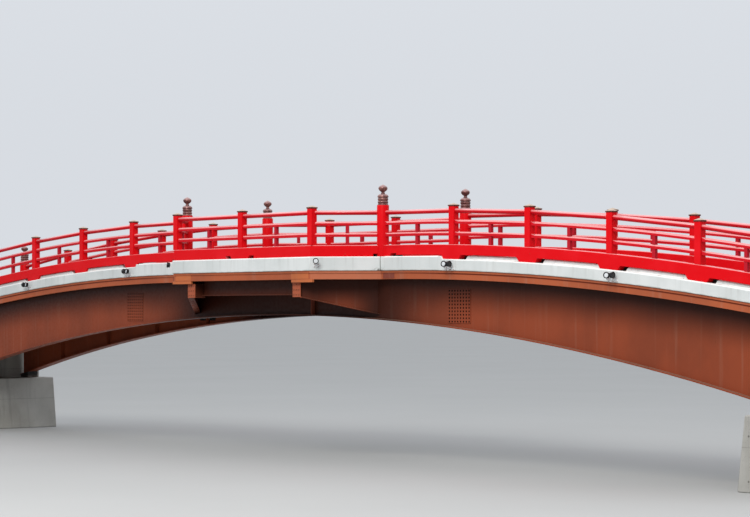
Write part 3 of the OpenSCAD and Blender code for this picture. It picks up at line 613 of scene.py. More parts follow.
# %% Ease the steel and the concrete
TIPS = [f"bracket_{side}_{end}" for side in ("near", "far") for end in ("right", "left")]
PLATE_EDGE = 0.0025
for node in ("main_girder_near", "main_girder_far", "cross_beams", "outriggers", "edge_beam_near",
             "edge_beam_far", *TIPS):
    ease(node, PLATE_EDGE, under_deck_shade_paint, segments=1)
# The cap plates take the paler patch paint as painted light.
caps = ease("bracket_caps", 0.004, patch_and_cap_light_paint)
for side in ("near", "far"):
    ease(f"fascia_{side}", PLATE_EDGE, fascia_paint, segments=1)
    ease(f"white_edge_{side}", 0.010, white_paint, chamfer=0.024)
for side in ("left", "right"):
    ease(f"abutment_{side}", 0.025, concrete)

# %% [markdown]
# ## Trimming the bracket tips
# In the photo the plates at the bracket tips look a little shorter and thinner than the CAD solids, and
# that shows against the dark underside. Their corner points are few, so they are simply moved: a test picks
# the points by their distance from the middle of the bridge, and a shift moves them, outwards or inwards
# alike on all four tips. The cap plates lose a little at both ends and their back edge comes forward, and
# the tips behind them lose as much at their inner end.

# %% Move the ends of the tip plates
def pull(piece, axis, test, shift):
    """Moves the chosen points away from the bridge's middle along X (0) or Y (1); minus is towards it."""
    moved = 0
    for point in piece.data.vertices:
        if test(abs(point.co.x), abs(point.co.y)):
            point.co[axis] += math.copysign(shift, point.co[axis])
            moved += 1
    return moved


CAP_INNER, CAP_OUTER, CAP_BACK, TIP_INNER = 2.3, 2.6, 2.5, 1.93
END_TRIM, BACK_TRIM = 0.07, 0.15
moved = pull(caps, 0, lambda x, y: x < CAP_INNER, END_TRIM)
moved += pull(caps, 0, lambda x, y: x > CAP_OUTER, -END_TRIM)
moved += pull(caps, 1, lambda x, y: y < CAP_BACK, BACK_TRIM)
for tip in TIPS:
    moved += pull(bpy.data.objects[tip + "_eased"], 0, lambda x, y: x < TIP_INNER, END_TRIM)
print("moved", moved, "points of the tip plates")

# %% [markdown]
# ## Nodes that keep their CAD shape
# The slab lies hidden under the paving, the grille bars are too thin to be worth a bevel, and the bearings
# get their layers in a later cell. These three need no copy, only a finish.

# %% Finish the nodes as they are
KEPT = {"deck_slab": concrete, "vent_grilles": under_deck_shade_paint, "bearings": rubber}
for node, finish in KEPT.items():
    refinish(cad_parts[node].data, finish)
print("kept CAD shapes:", ", ".join(KEPT))


# %% [markdown]
# ## Growing repeated parts with Geometry Nodes
# Bolts and slabs repeat hundreds of times. A Geometry Nodes tree takes a host mesh and a few named sizes,
# puts one small shape on each point of it, makes the copies real and gives them a finish. `grow` runs a
# tree on a host, keeps the result as a plain mesh and throws the host away, so that nothing in the scene
# depends on a modifier.

# %% Helpers that open, close and run a tree
def new_tree(name, sizes):
    tree = bpy.data.node_groups.new(name, "GeometryNodeTree")
    tree.interface.new_socket("Geometry", in_out="INPUT", socket_type="NodeSocketGeometry")
    for label in sizes:
        tree.interface.new_socket(label, in_out="INPUT", socket_type="NodeSocketFloat")
    tree.interface.new_socket("Geometry", in_out="OUTPUT", socket_type="NodeSocketGeometry")
    return tree, tree.nodes.new("NodeGroupInput").outputs


def close_tree(tree, geometry, finish):
    real = add(tree, "GeometryNodeRealizeInstances", {0: geometry}).outputs[0]
    dressed = add(tree, "GeometryNodeSetMaterial", {0: real, "Material": finish}).outputs[0]
    tree.links.new(dressed, tree.nodes.new("NodeGroupOutput").inputs[0])


def grow(name, tree, host, sizes):
    holder = linked(name + "_host", host)
    modifier = holder.modifiers.new("grow", "NODES")
    modifier.node_group = tree
    for item in tree.interface.items_tree:
        if item.in_out == "INPUT" and item.name in sizes:
            modifier[item.identifier] = sizes[item.name]
    evaluated = holder.evaluated_get(bpy.context.evaluated_depsgraph_get())
    mesh = bpy.data.meshes.new_from_object(evaluated)
    holder.modifiers.remove(modifier)
    bpy.data.objects.remove(holder)
    return new_piece(name, mesh, None)


# %% [markdown]
# ## Slabs of the walkway
# The walkway is paved with stone slabs in rows, each row shifted by half a slab, with narrow mortar joints.
# The tree lays a grid of upright blocks, shifts every second row, gives each block a random shade and keeps
# only what lies inside the walkway's own solid. That one cut makes every slab follow the camber and the
# splayed sides exactly. A mason's arris is then bevelled onto each slab, and a sunken bed of mortar fills
# the joints.

# %% Lay the slabs
tree, sizes = new_tree("slabs", ["Slab length", "Slab width", "Joint", "Columns", "Rows"])
size_x = times(sizes["Slab length"], less(sizes["Columns"], 1.0))
size_y = times(sizes["Slab width"], less(sizes["Rows"], 1.0))
grid = add(tree, "GeometryNodeMeshGrid", {
    "Size X": size_x, "Size Y": size_y,
    "Vertices X": sizes["Columns"], "Vertices Y": sizes["Rows"]}).outputs["Mesh"]
row = reckon("MODULO", add(tree, "GeometryNodeInputIndex").outputs[0], sizes["Rows"])
shifted = times(reckon("MODULO", row, 2.0), sizes["Slab length"])
shift = add(tree, "ShaderNodeCombineXYZ", {"X": times(shifted, 0.5), "Z": DECK_Z - 1.0}).outputs[0]
spots = add(tree, "GeometryNodeSetPosition", {"Geometry": grid, "Offset": shift}).outputs[0]
block_size = add(tree, "ShaderNodeCombineXYZ", {
    "X": less(sizes["Slab length"], sizes["Joint"]),
    "Y": less(sizes["Slab width"], sizes["Joint"]), "Z": 4.0}).outputs[0]
block = add(tree, "GeometryNodeMeshCube", {"Size": block_size}).outputs["Mesh"]
blocks = add(tree, "GeometryNodeInstanceOnPoints", {"Points": spots, "Instance": block}).outputs[0]
shade = add(tree, "FunctionNodeRandomValue", {"Seed": 11}, data_type="FLOAT").outputs[1]
shaded = add(tree, "GeometryNodeStoreNamedAttribute",
             {"Geometry": blocks, "Name": "slab_shade", "Value": shade},
             data_type="FLOAT", domain="INSTANCE").outputs[0]
solid_blocks = add(tree, "GeometryNodeRealizeInstances", {0: shaded}).outputs[0]
cut = add(tree, "GeometryNodeMeshBoolean", operation="INTERSECT", solver="MANIFOLD")
tree.links.new(solid_blocks, cut.inputs["Mesh 2"])
tree.links.new(sizes["Geometry"], cut.inputs["Mesh 2"])
close_tree(tree, cut.outputs["Mesh"], paving_stone)

SLAB_SIZES = {"Slab length": 0.60, "Slab width": 0.40, "Joint": 0.009, "Columns": 57.0, "Rows": 13.0}
JOINT_DEPTH, SLAB_ARRIS, TOP_BAND = 0.006, 0.004, 0.02
shape = merged(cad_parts["walkway_paving"].data)
host = bpy.data.meshes.new("walkway_solid")
shape.to_mesh(host)
for vertex in shape.verts:
    if vertex.co.z > deck_height(vertex.co.x) - TOP_BAND:
        vertex.co.z -= JOINT_DEPTH
bed = bpy.data.meshes.new("mortar_bed")
shape.to_mesh(bed)
shape.free()
new_piece("mortar_bed", bed, mortar)
slabs = grow("paving_slabs", tree, host, SLAB_SIZES)
shape = merged(slabs.data, 1e-5)
top_edges = [e for e in shape.edges if len(e.link_faces) == 2
             and max(f.normal.z for f in e.link_faces) > 0.9
             and min(abs(f.normal.z) for f in e.link_faces) < 0.3]
bevel_edges(shape, top_edges, SLAB_ARRIS, 1)
shape.to_mesh(slabs.data)
shape.free()
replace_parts(slabs, "walkway_paving")
print("slab attributes:", [a.name for a in slabs.data.attributes if not a.name.startswith(".")])

# %% [markdown]
# ## Bolts, nails and plugs
# Every bolted joint uses the same fastener: a hexagon head on a round washer. The tree puts one on each
# point of a cloud, turned so that it stands out along the direction stored there as `facing`, and twists
# each head by a random angle, as a spanner would leave it. The same tree with other sizes makes the nails
# in the post caps and the round mortar plugs that fill the formwork tie holes in the abutments.

# %% The fastener tree and the clouds it grows on
def fastener_tree(name, finish, sides, washer_sides):
    tree, sizes = new_tree(name, ["Head", "Height", "Washer", "Washer height"])
    parts = []
    for size, height, base, count in ((sizes["Head"], sizes["Height"], sizes["Washer height"], sides),
                                      (sizes["Washer"], sizes["Washer height"], 0.0, washer_sides)):
        disc = add(tree, "GeometryNodeMeshCylinder", {"Vertices": count, "Radius": times(size, 0.5),
                                                      "Depth": height}, fill_type="NGON").outputs["Mesh"]
        lift = reckon("ADD", times(height, 0.5), base)
        up = add(tree, "ShaderNodeCombineXYZ", {"Z": lift}).outputs[0]
        parts.append(add(tree, "GeometryNodeTransform", {"Geometry": disc, "Translation": up}).outputs[0])
    joined = tree.nodes.new("GeometryNodeJoinGeometry")
    for part in parts:
        tree.links.new(part, joined.inputs[0])
    facing = add(tree, "GeometryNodeInputNamedAttribute", {"Name": "facing"}, data_type="FLOAT_VECTOR")
    facing = facing.outputs[0]
    turned = add(tree, "FunctionNodeAlignRotationToVector", {"Vector": facing}, axis="Z").outputs[0]
    placed = add(tree, "GeometryNodeInstanceOnPoints", {
        "Points": sizes["Geometry"], "Instance": joined.outputs[0], "Rotation": turned}).outputs[0]
    angle = add(tree, "FunctionNodeRandomValue", {2: 0.0, 3: 1.05, "Seed": 5}, data_type="FLOAT").outputs[1]
    twist = add(tree, "ShaderNodeCombineXYZ", {"Z": angle}).outputs[0]
    twisted = add(tree, "GeometryNodeRotateInstances", {"Instances": placed, "Rotation": twist}).outputs[0]
    close_tree(tree, twisted, finish)
    return tree


def cloud(name, places):
    mesh = bpy.data.meshes.new(name)
    mesh.from_pydata([place for place, _ in places], [], [])
    facing = mesh.attributes.new("facing", "FLOAT_VECTOR", "POINT")
    for item, (_, normal) in zip(facing.data, places):
        item.vector = normal
    return mesh


def fasten(name, tree, places, sizes):
    """Puts one fastener on each place; the sizes are its head, height, washer and washer height."""
    labels = ("Head", "Height", "Washer", "Washer height")
    grow(name, tree, cloud(name + "_cloud", places), dict(zip(labels, sizes)))


def four_ways(places):
    """The same places on both sides and at both ends of the bridge."""
    made = []
    for sx in (1, -1):
        for sy in (1, -1):
            made += [((sx * p[0], sy * p[1], p[2]), (sx * n[0], sy * n[1], n[2])) for p, n in places]
    return made


def both_faces(x, half, y, z):
    """A bolt on either face of an upright cross plate that is twice `half` thick."""
    return [((x + half, y, z), (1, 0, 0)), ((x - half, y, z), (-1, 0, 0))]


ARM_LINES = [CORNER_X + k * BAY for k in range(5)]
FRAME_HALF, FRAME_DROPS = 0.008, (0.43, 0.53, 0.63, 0.72)
OUTRIGGER_HALF, OUTRIGGER_DROPS, OUTRIGGER_YS = 0.009, (0.42, 0.52, 0.62), (1.42, 1.52, 2.12, 2.20)
TIP_XS, TIP_DROPS = (2.01, 2.105, 2.20), (0.66, 0.78, 0.90)
steel_bolts = []
for x in (0.0, PLATFORM_X / 2, PLATFORM_X, *ARM_LINES):
    for drop in FRAME_DROPS:
        steel_bolts += both_faces(x, FRAME_HALF, GIRDER_Y - 0.075, deck_height(x) - drop)
for x in (0.0, PLATFORM_X / 2):
    for y in OUTRIGGER_YS:
        for drop in OUTRIGGER_DROPS:
            steel_bolts += both_faces(x, OUTRIGGER_HALF, y, DECK_Z - drop)
steel_bolts += [((x, PLATFORM_Y + 0.0005, DECK_Z - drop), (0, 1, 0)) for x in TIP_XS for drop in TIP_DROPS]
print("bolts in the steel:", 4 * len(steel_bolts))
hexagon = fastener_tree("hexagon_bolts", bolt_zinc, 6, 14)
fasten("steel_bolts", hexagon, four_ways(steel_bolts), (0.030, 0.015, 0.040, 0.004))

# %% Nails in the post caps and plugs in the abutments
NAIL_Z, CAP_HALF, NAIL_OFF = 1.165, 0.097, 0.055
cap_nails = []
for x, y in [(0.0, PLATFORM_Y), (PLATFORM_X, PLATFORM_Y)] + [(x, ARM_Y) for x in ARM_LINES[1:]]:
    z = deck_height(x) + NAIL_Z
    for off in (-NAIL_OFF, NAIL_OFF):
        cap_nails += [((x + off, y + CAP_HALF, z), (0, 1, 0)), ((x + off, y - CAP_HALF, z), (0, -1, 0)),
                      ((x + CAP_HALF, y + off, z), (1, 0, 0)), ((x - CAP_HALF, y + off, z), (-1, 0, 0))]
dome = fastener_tree("dome_nails", cap_metal, 8, 10)
fasten("cap_nails", dome, four_ways(cap_nails), (0.011, 0.0025, 0.017, 0.0025))

WALL_Y = 1.84
PLUG_X, PLUG_Z = 15.3, 0.225
plugs = []
for row in range(4):
    for k in range(0 if row < 2 else 1, 3):
        plugs.append(((PLUG_X + k * PANEL, WALL_Y - 0.001, PLUG_Z + row * PANEL), (0, 1, 0)))
plug = fastener_tree("mortar_plugs", mortar, 20, 20)
fasten("tie_hole_plugs", plug, four_ways(plugs), (0.030, 0.0010, 0.046, 0.0022))

# %% [markdown]
# ## Turned bronze finials
# A finial is a hollow casting that was turned on a lathe: a sleeve with raised rings, a domed shoulder, a
# narrow neck with a bead, and an onion that ends in a small tip. So it is made the same way here. One
# profile is written as radius and height, spun round once, and set down on the eight main posts.

# %% Spin a profile
def spin(profile, count):
    """A closed turned shape round +Z; the profile starts and ends on the axis."""
    verts, faces = [(0, 0, profile[0][1])], []
    turns = [math.tau * k / count for k in range(count)]
    for r, z in profile[1:-1]:
        verts += [(r * math.cos(turn), r * math.sin(turn), z) for turn in turns]
    verts.append((0, 0, profile[-1][1]))
    rings = len(profile) - 2
    for k in range(count):
        after = (k + 1) % count
        faces.append((0, 1 + after, 1 + k))
        for ring in range(rings - 1):
            low, high = 1 + ring * count, 1 + (ring + 1) * count
            faces.append((low + k, low + after, high + after, high + k))
        last = 1 + (rings - 1) * count
        faces.append((last + k, last + after, len(verts) - 1))
    return verts, faces


CREASE = math.radians(35)


def placed_copies(name, shape, frames):
    """One mesh that holds the same turned shape in every given frame."""
    verts, faces = shape
    mesh = bpy.data.meshes.new(name)
    all_verts, all_faces = [], []
    for matrix in frames:
        base = len(all_verts)
        all_verts += [tuple(matrix @ Vector(v)) for v in verts]
        all_faces += [tuple(base + i for i in face) for face in faces]
    mesh.from_pydata(all_verts, [], all_faces)
    mesh.shade_smooth()
    mesh.set_sharp_from_angle(angle=CREASE)
    return mesh


def bulge(radius, depth, low, high, steps=5):
    """A rounded ring that stands out from a groove of the given depth."""
    return [(radius - depth + depth * math.sin(math.pi * k / steps) ** 0.5, low + (high - low) * k / steps)
            for k in range(steps + 1)]


SLEEVE_R, SLEEVE_TOP, GROOVE = 0.126, 0.185, 0.011
sleeve = [(0, 0), *bulge(SLEEVE_R + 0.003, GROOVE, 0.000, 0.026), *bulge(SLEEVE_R, GROOVE, 0.042, 0.094, 7),
          *bulge(SLEEVE_R, GROOVE, 0.112, 0.170, 7), (SLEEVE_R - GROOVE, SLEEVE_TOP), (0, SLEEVE_TOP)]
SHOULDER_R, SHOULDER_LOW, SHOULDER_TOP, NECK_R = 0.134, 0.190, 0.270, 0.040
shoulder = []
for k in range(11):
    rise = k / 10
    shoulder.append((NECK_R + (SHOULDER_R - NECK_R) * math.sqrt(1 - rise * rise),
                     SHOULDER_LOW + rise * (SHOULDER_TOP - SHOULDER_LOW)))
bead = [(NECK_R + 0.008, 0.274), (NECK_R + 0.011, 0.281), (NECK_R + 0.008, 0.288), (NECK_R, 0.292)]
ONION_R, ONION_LOW, ONION_TOP, ONION_STEPS = 0.109, 0.300, 0.484, 26
TIP_Z, TIP_SLOPE, BELLY_Z = 0.492, 1.02, 0.40
onion = []
for k in range(1, ONION_STEPS):
    z = ONION_LOW + (ONION_TOP - ONION_LOW) * k / ONION_STEPS
    r = ONION_R * math.sin(math.pi * (k / ONION_STEPS) ** 1.12) ** 0.6
    onion.append((max(r, NECK_R if z < BELLY_Z else TIP_SLOPE * (TIP_Z - z) + 0.002), z))
finial = [(0, SLEEVE_TOP), (SHOULDER_R - 0.012, SLEEVE_TOP), (SHOULDER_R, 0.188), *shoulder, *bead,
          (NECK_R, ONION_LOW), *onion, (0.004, 0.490), (0, TIP_Z)]
POST_TOP = 1.225
tops = [Matrix.Translation((sx * x, sy * ARM_Y, deck_height(x) + POST_TOP))
        for sx in (1, -1) for sy in (1, -1) for x in (CORNER_X, END_X)]
for name, profile, node in (("turned_sleeves", sleeve, "finial_sleeves"),
                            ("turned_finials", finial, "finials")):
    mesh = placed_copies(name, spin(profile, 56), tops)
    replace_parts(new_piece(name, mesh, bronze), node)

# %% [markdown]
# ## Spotlights
# The small floodlights on the white edge light the trees at night. Each is a short black can with cooling
# fins at the back and a raised rim in front, round a pale lens that reflects the sky. A galvanised bracket
# holds it off the concrete. All the turned parts share one axis, so they are profiles again, and only the
# axis differs from lamp to lamp: the pair on an arm looks two ways, and the single lamp at each corner
# looks straight out. The lamp that looks along the bridge gets a near-black lens, a painted dark reflection
# that makes its face dark. In the photo the lamps look a little smaller than the CAD solids, so they are
# made at 0.88 of their size, and each pair stands where the photo shows it.

# %% Profiles and places of the lamps
LAMP_R, RIM_R, HALF = 0.073, 0.079, 0.042
fins = []
for k in range(3):
    z = -HALF + 0.010 + 0.011 * k
    fins += [(0.058, z), (0.070, z + 0.001), (0.070, z + 0.005), (0.058, z + 0.006)]
can = [(0, -HALF), (0.040, -HALF), (0.054, -HALF + 0.006), *fins, (0.066, 0.001), (LAMP_R, 0.006),
       (LAMP_R, HALF - 0.012), (0, HALF - 0.012)]
rim = [(0, HALF - 0.014), (RIM_R - 0.003, HALF - 0.014), (RIM_R, HALF - 0.011), (RIM_R, HALF + 0.007),
       (RIM_R - 0.003, HALF + 0.010), (0.062, HALF + 0.010), (0.059, HALF + 0.004), (0.058, HALF - 0.006),
       (0, HALF - 0.006)]
lens_disc = [(0, HALF - 0.0065), (0.0585, HALF - 0.0065), (0.057, HALF - 0.004), (0.040, HALF - 0.001),
             (0.020, HALF + 0.0005), (0, HALF + 0.001)]
LAMP_OUT, LAMP_LOW, LEDGE = 0.120, 0.112, 0.070
LAMP_SCALE, LAMP_TILT = 0.88, 0.10
PITCH, PAST_POST, ALONG_SPLAY = 0.140, {1: 0.02, 3: 0.17}, 0.17
SPLAY = math.radians(45)
corner = Vector((PLATFORM_X + MITRE * EDGE_OUT, PLATFORM_Y + EDGE_OUT, DECK_Z - LAMP_LOW))
spots = [(corner + ALONG_SPLAY * Vector((math.cos(SPLAY), -math.sin(SPLAY), 0)), -SPLAY, 0.0)]
for bay, past in PAST_POST.items():
    x = CORNER_X + bay * BAY + past
    z = deck_height(x) - LEDGE - LAMP_LOW
    for off, yaw in ((-PITCH / 2, -12), (PITCH / 2, -95)):
        spots.append((Vector((x + off, ARM_Y + EDGE_OUT, z)), 0.0, math.radians(yaw)))
print("lamps in each quarter of the bridge:", len(spots))

# %% Turn the lamps and fit their brackets
BRACKET = [((-0.062, 0, -0.145), (0.062, 0.010, -0.055)),
           ((-0.014, 0.010, -0.100), (0.014, LAMP_OUT, -0.092)),
           ((-0.014, LAMP_OUT - 0.012, -0.092), (0.014, LAMP_OUT + 0.012, -0.060))]
BRACKET_BOLTS = [(x, 0.010, z) for z in (-0.130, -0.070) for x in (-0.046, 0.046)]


def box_part(verts, faces, low, high, matrix):
    base = len(verts)
    for k in range(8):
        place = Vector([(high if k >> axis & 1 else low)[axis] for axis in range(3)])
        verts.append(tuple(matrix @ place))
    order = [(0, 2, 3, 1), (4, 5, 7, 6), (0, 1, 5, 4), (2, 6, 7, 3), (0, 4, 6, 2), (1, 3, 7, 5)]
    flip = matrix.determinant() < 0
    faces += [tuple(base + i for i in (reversed(face) if flip else face)) for face in order]


for side, sy in (("near", -1), ("far", 1)):
    axes, clear, dark_lens_axes, verts, faces, bolts = [], [], [], [], [], []
    for sx in (1, -1):
        for place, wall_turn, yaw in spots:
            mirror = Matrix.Diagonal((sx, sy, 1, 1))
            wall = mirror @ Matrix.Translation(place) @ Matrix.Rotation(wall_turn, 4, "Z")
            aim = wall.to_3x3() @ Vector((-math.sin(yaw), math.cos(yaw), LAMP_TILT))
            middle = wall @ Vector((0, LAMP_OUT, 0))
            axes.append(Matrix.Translation(middle) @ aim.to_track_quat("Z", "Y").to_matrix().to_4x4()
                        @ Matrix.Scale(LAMP_SCALE, 4))
            # The lamp that looks along the bridge gets the painted dark reflection.
            (dark_lens_axes if yaw < -SPLAY else clear).append(axes[-1])
            for low, high in BRACKET:
                box_part(verts, faces, low, high, wall)
            outwards = tuple(wall.to_3x3() @ Vector((0, 1, 0)))
            bolts += [(tuple(wall @ Vector(spot)), outwards) for spot in BRACKET_BOLTS]
    turned = {"lamp_cans": (can, black_paint, axes), "lamp_rims": (rim, black_paint, axes),
              "clear_lenses": (lens_disc, glass, clear), "dark_lenses": (lens_disc, dark_reflection_glass, dark_lens_axes)}
    for name, (profile, finish, frames) in turned.items():
        mesh = placed_copies(f"{name}_{side}", spin(profile, 40), frames)
        piece = new_piece(f"{name}_{side}", mesh, finish)
        if name == "lamp_cans":
            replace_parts(piece, f"spotlights_{side}")
    mesh = bpy.data.meshes.new(f"lamp_brackets_{side}")
    mesh.from_pydata(verts, [], faces)
    new_piece(f"lamp_brackets_{side}", mesh, galvanised)
    fasten(f"lamp_bolts_{side}", hexagon, bolts, (0.013, 0.006, 0.020, 0.002))
    print("lamps on the", side, "side:", len(axes))

# %% [markdown]
# ## Drains, screens and cover plates
# Rain leaves the deck through the notches in the sill and the gaps in the kerb. Behind each stands a black
# plate with bars, put there as painted shade, so that the drains look black from below. A black sheet
# behind each vent grille is painted shade in the same way and makes its holes dark, thin cover plates close
# the joints of the fascia at the corners, and a paler plate patches it at each end of the platform. One
# upright stiffener stands on the outside of each web near the middle. The near one is what shows under the
# bracket;
# the far web has its own at the other end, because the bridge looks the same after half a turn.

# %% Helper for the flat parts
MIRRORS = [Matrix.Diagonal((sx, sy, 1, 1)) for sx in (1, -1) for sy in (1, -1)]


def flat_parts(name, boxes, finish, chamfer=0.0):
    """Joins boxes, each a lowest corner, a highest corner and a matrix, into one piece."""
    verts, faces = [], []
    for low, high, matrix in boxes:
        box_part(verts, faces, low, high, matrix)
    mesh = bpy.data.meshes.new(name)
    mesh.from_pydata(verts, [], faces)
    if chamfer:
        shape = bmesh.new()
        shape.from_mesh(mesh)
        bevel_edges(shape, list(shape.edges), chamfer, 1)
        shape.to_mesh(mesh)
        shape.free()
    return new_piece(name, mesh, finish)


# %% Black plates that paint the shade behind the drain notches
NOTCH_FROM, NOTCH_TO, BACK, FRONT = 0.305, 0.60, 0.088, 0.070
BAR_FROM, BAR_PITCH, BAR_W, BAR_OUT, BARS = 0.345, 0.032, 0.010, 0.060, 6
GAP_FROM, GAP_AT, GAP_TO, GAP_BACK, GAP_FRONT = 0.255, 0.35, 0.53, 0.116, 0.086
shade_plates = []
for m in MIRRORS:
    for x, y in ((0.0, PLATFORM_Y), (CORNER_X, ARM_Y)):
        low, high = (x + NOTCH_FROM, y - BACK, DECK_Z + 0.002), (x + NOTCH_TO, y - FRONT, DECK_Z + 0.068)
        shade_plates.append((low, high, m))
        for k in range(BARS):
            bar_x = x + BAR_FROM + BAR_PITCH * k
            low, high = (bar_x, y - FRONT, DECK_Z + 0.004), (bar_x + BAR_W, y - BAR_OUT, DECK_Z + 0.066)
            shade_plates.append((low, high, m))
    for x in ARM_LINES[1:]:
        z = deck_height(x + GAP_AT) - LEDGE
        low, high = (x + GAP_FROM, ARM_Y - GAP_BACK, z + 0.002), (x + GAP_TO, ARM_Y - GAP_FRONT, z + 0.090)
        shade_plates.append((low, high, m))
for m in MIRRORS:
    splayed = m @ Matrix.Translation((CORNER_X, ARM_Y, DECK_Z)) @ Matrix.Rotation(3 * SPLAY, 4, "Z")
    shade_plates.append(((0.115, FRONT, 0.002), (0.262, BACK, 0.066), splayed))
# Painted shade: black plates where the drains would only be in shade.
flat_parts("drain_shade_plates", shade_plates, shade_black)

# %% Black sheets that paint the shade behind the vent grilles
GRILLE_X, GRILLE_HALF, GRILLE_TOP, GRILLE_LOW = CORNER_X + BAY + 0.08, 0.358, 0.807, 1.563
STIFFENER_X, STIFFENER_HALF = CORNER_X + BAY, 0.010
SCREEN_BACK, SCREEN_FRONT = GIRDER_Y - 0.012, GIRDER_Y - 0.006
shade_screens = []
for m in MIRRORS:
    for x0, x1 in ((GRILLE_X - GRILLE_HALF, STIFFENER_X - STIFFENER_HALF),
                   (STIFFENER_X + STIFFENER_HALF, GRILLE_X + GRILLE_HALF)):
        shade_screens.append(((x0, SCREEN_BACK, DECK_Z - GRILLE_LOW), (x1, SCREEN_FRONT, DECK_Z - GRILLE_TOP), m))
# Painted shade: black sheets that make the grille holes dark.
flat_parts("grille_shade_screens", shade_screens, shade_black)

# %% Cover plates, patches and outer stiffeners
COVER_LOW = (CORNER_X + 0.10, ARM_Y + 0.085, DECK_Z - 0.524)
COVER_HIGH = (CORNER_X + 0.50, ARM_Y + 0.090, DECK_Z - 0.391)
PATCH_LOW = (2.01, PLATFORM_Y + 0.085, DECK_Z - 0.525)
PATCH_HIGH = (2.66, PLATFORM_Y + 0.089, DECK_Z - 0.390)
FIN_X, FIN_HALF, FIN_IN, FIN_OUT, FIN_GAP = 1.22, 0.007, 0.0095, 0.125, 0.032
fin_low = (FIN_X - FIN_HALF, GIRDER_Y + FIN_IN, arch_height(FIN_X) + FIN_GAP)
fin_high = (FIN_X + FIN_HALF, GIRDER_Y + FIN_OUT, DECK_Z - EDGE_H - FIN_GAP)
covers = [(COVER_LOW, COVER_HIGH, m) for m in MIRRORS]
patches = [(PATCH_LOW, PATCH_HIGH, m) for m in MIRRORS]
fins = [(fin_low, fin_high, m) for m in (MIRRORS[1], MIRRORS[2])]
flat_parts("fascia_covers", covers, cover_paint, chamfer=0.0015)
flat_parts("fascia_patches", patches, patch_and_cap_light_paint, chamfer=0.0015)
flat_parts("outer_stiffeners", fins, cover_paint, chamfer=0.002)

# %% [markdown]
# ## Laminated bearings
# Each girder end stands on a rubber block with thin steel plates moulded into it, on a steel base plate
# that is bolted to the abutment. The layers show as fine lines on its sides. The block itself is the CAD
# solid, whose top is already cut to the slope of the girder.

# %% Layers of a bearing
BLOCK_X, BLOCK_Y, BLOCK_H, LAYER_OUT = 0.20, 0.18, 0.09, 0.0025
SHELF_X = END_X - 0.45
SHELF_Z = arch_height(SHELF_X + BLOCK_X) - BLOCK_H
BASE_X, BASE_Y, BASE_H = 0.215, 0.195, 0.016
LAYERS, LAYER_Z, LAYER_PITCH, LAYER_H = 5, 0.024, 0.012, 0.003


def pad(half_x, half_y, z, height, matrix):
    """A flat plate centred under the girder end, as a box for flat_parts."""
    low, high = (SHELF_X - half_x, GIRDER_Y - half_y, z), (SHELF_X + half_x, GIRDER_Y + half_y, z + height)
    return low, high, matrix


plates = [pad(BASE_X, BASE_Y, SHELF_Z, BASE_H, m) for m in MIRRORS]
sheets = [pad(BLOCK_X + LAYER_OUT, BLOCK_Y + LAYER_OUT, SHELF_Z + LAYER_Z + LAYER_PITCH * k, LAYER_H, m)
          for m in MIRRORS for k in range(LAYERS)]
flat_parts("bearing_plates", plates, pad_steel, chamfer=0.002)
flat_parts("bearing_laminations", sheets, pad_steel)
anchors = [((SHELF_X - 0.208, GIRDER_Y + off, SHELF_Z + BASE_H), (0, 0, 1)) for off in (-0.15, 0.15)]
fasten("bearing_anchors", hexagon, four_ways(anchors), (0.012, 0.008, 0.014, 0.002))

# %% [markdown]
# ## Camera
# The photo was taken with a long lens from in front of the right-hand arm, a little below the deck, and
# held level: the posts stay upright in it. A level camera whose frame is shifted upwards keeps them upright
# here too. The camera looks past the foot of the near right corner post, from a distance that gives the
# photo's scale, and the lens follows from its focal length in pixels.

# %% Camera at the photo's viewpoint
YAW = math.radians(48.5)
AWAY, SIDEWAYS, EYE_Z = 52.38, 0.19, 3.605
LENS_PX, FRAME_PX, SENSOR_MM = 2200.0, 750.0, 36.0
FRAME_SHIFT = 0.07
forward = Vector((-math.sin(YAW), math.cos(YAW), 0))
right = Vector((math.cos(YAW), math.sin(YAW), 0))
lens = bpy.data.cameras.new("camera")
lens.sensor_width = SENSOR_MM
lens.lens = SENSOR_MM * LENS_PX / FRAME_PX
lens.shift_y = FRAME_SHIFT
lens.clip_end = 9000.0
camera = linked("camera", lens)
camera.location = Vector((CORNER_X, -ARM_Y, EYE_Z)) - AWAY * forward - SIDEWAYS * right
camera.rotation_euler = (math.radians(90), 0, YAW)
bpy.context.scene.camera = camera
print("camera at", [round(v, 2) for v in camera.location], "lens", round(lens.lens, 1), "mm")

# %% [markdown]
# ## Light and floor
# The day was bright and overcast, so the light is a pale sky and one very large soft box, high in front of
# the near parapet, which lights the arms and the splayed corner alike and leaves the posts' end faces in
# shade. The sky is brighter overhead than at the horizon, and dimmer on the camera's side, as in a studio
# with one pale wall. A plain pale floor stands in for the ground.

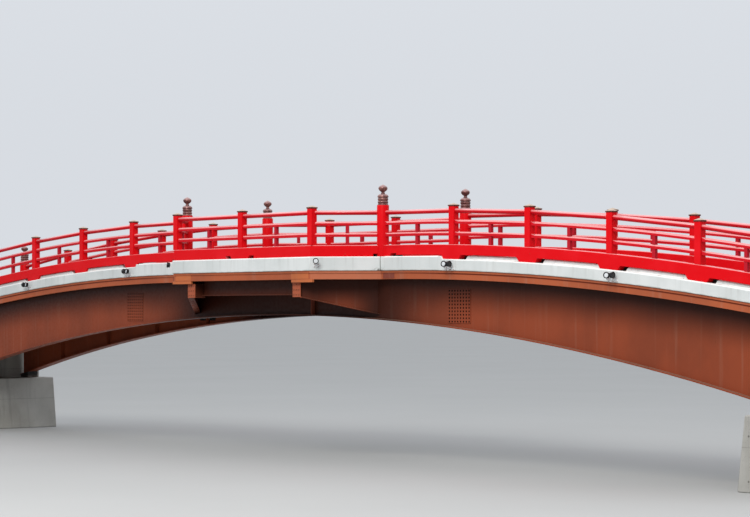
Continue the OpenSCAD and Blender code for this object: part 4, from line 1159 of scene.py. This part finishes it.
# %% Sky
SKY_TINT = (0.90, 0.94, 1.0, 1.0)
TOWARDS_CAMERA = (0.75, -0.66, 0.0)
sky = bpy.data.worlds.new("pale_sky")
sky.use_nodes = True
tree = sky.node_tree
direction = add(tree, "ShaderNodeTexCoord").outputs["Generated"]
facing = add(tree, "ShaderNodeVectorMath", {0: direction, 1: TOWARDS_CAMERA}, operation="DOT_PRODUCT")
pale_side = sharpen(facing.outputs["Value"], 0.5, -0.4, 0.55, 1.0)
overhead = sharpen(along(direction, 2), 0.05, 0.85, 0.76, 1.4)
background = tree.nodes["Background"]
background.inputs["Color"].default_value = SKY_TINT
drive(background, "Strength", times(overhead, pale_side))
bpy.context.scene.world = sky
bpy.context.scene.view_settings.view_transform = "Standard"
print("sky:", sky.name)

# %% Soft box and floor
BOX_PLACE, BOX_TARGET, BOX_SIZE, BOX_WATTS = Vector((19, -32, 34)), Vector((2, 0, 5)), 22.0, 14800
WARM_WHITE = (1.0, 0.985, 0.96)
lamp = bpy.data.lights.new("key", "AREA")
lamp.shape, lamp.size, lamp.energy, lamp.color = "SQUARE", BOX_SIZE, BOX_WATTS, WARM_WHITE
soft_box = linked("key", lamp)
soft_box.location = BOX_PLACE
soft_box.rotation_euler = (BOX_TARGET - BOX_PLACE).to_track_quat("-Z", "Y").to_euler()

REACH = 4000.0
floor_paint, shader, where = surface("pale_floor", roughness=0.9)
dress(shader, (0.40, 0.40, 0.39), [(noise(where, 0.15, detail=4), (0.44, 0.44, 0.43))])
floor_mesh = bpy.data.meshes.new("floor")
corners = [(x * REACH, y * REACH, 0) for x, y in ((-1, -1), (1, -1), (1, 1), (-1, 1))]
floor_mesh.from_pydata(corners, [], [(0, 1, 2, 3)])
floor_mesh.materials.append(floor_paint)
floor = linked("floor", floor_mesh)
floor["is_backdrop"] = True
print("light:", soft_box.name, "floor:", floor.name)

# %% [markdown]
# ## Last look at the sizes
# The dressed bridge has to fit inside the CAD model's box. Both boxes are gathered here, and the visual box
# is printed.

# %% Gather the sizes and finish
low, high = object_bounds()
sizes = {"cad": [list(cad_low), list(cad_high)], "visual": [list(low), list(high)]}
print("visual box from", [round(v, 3) for v in low], "to", [round(v, 3) for v in high])
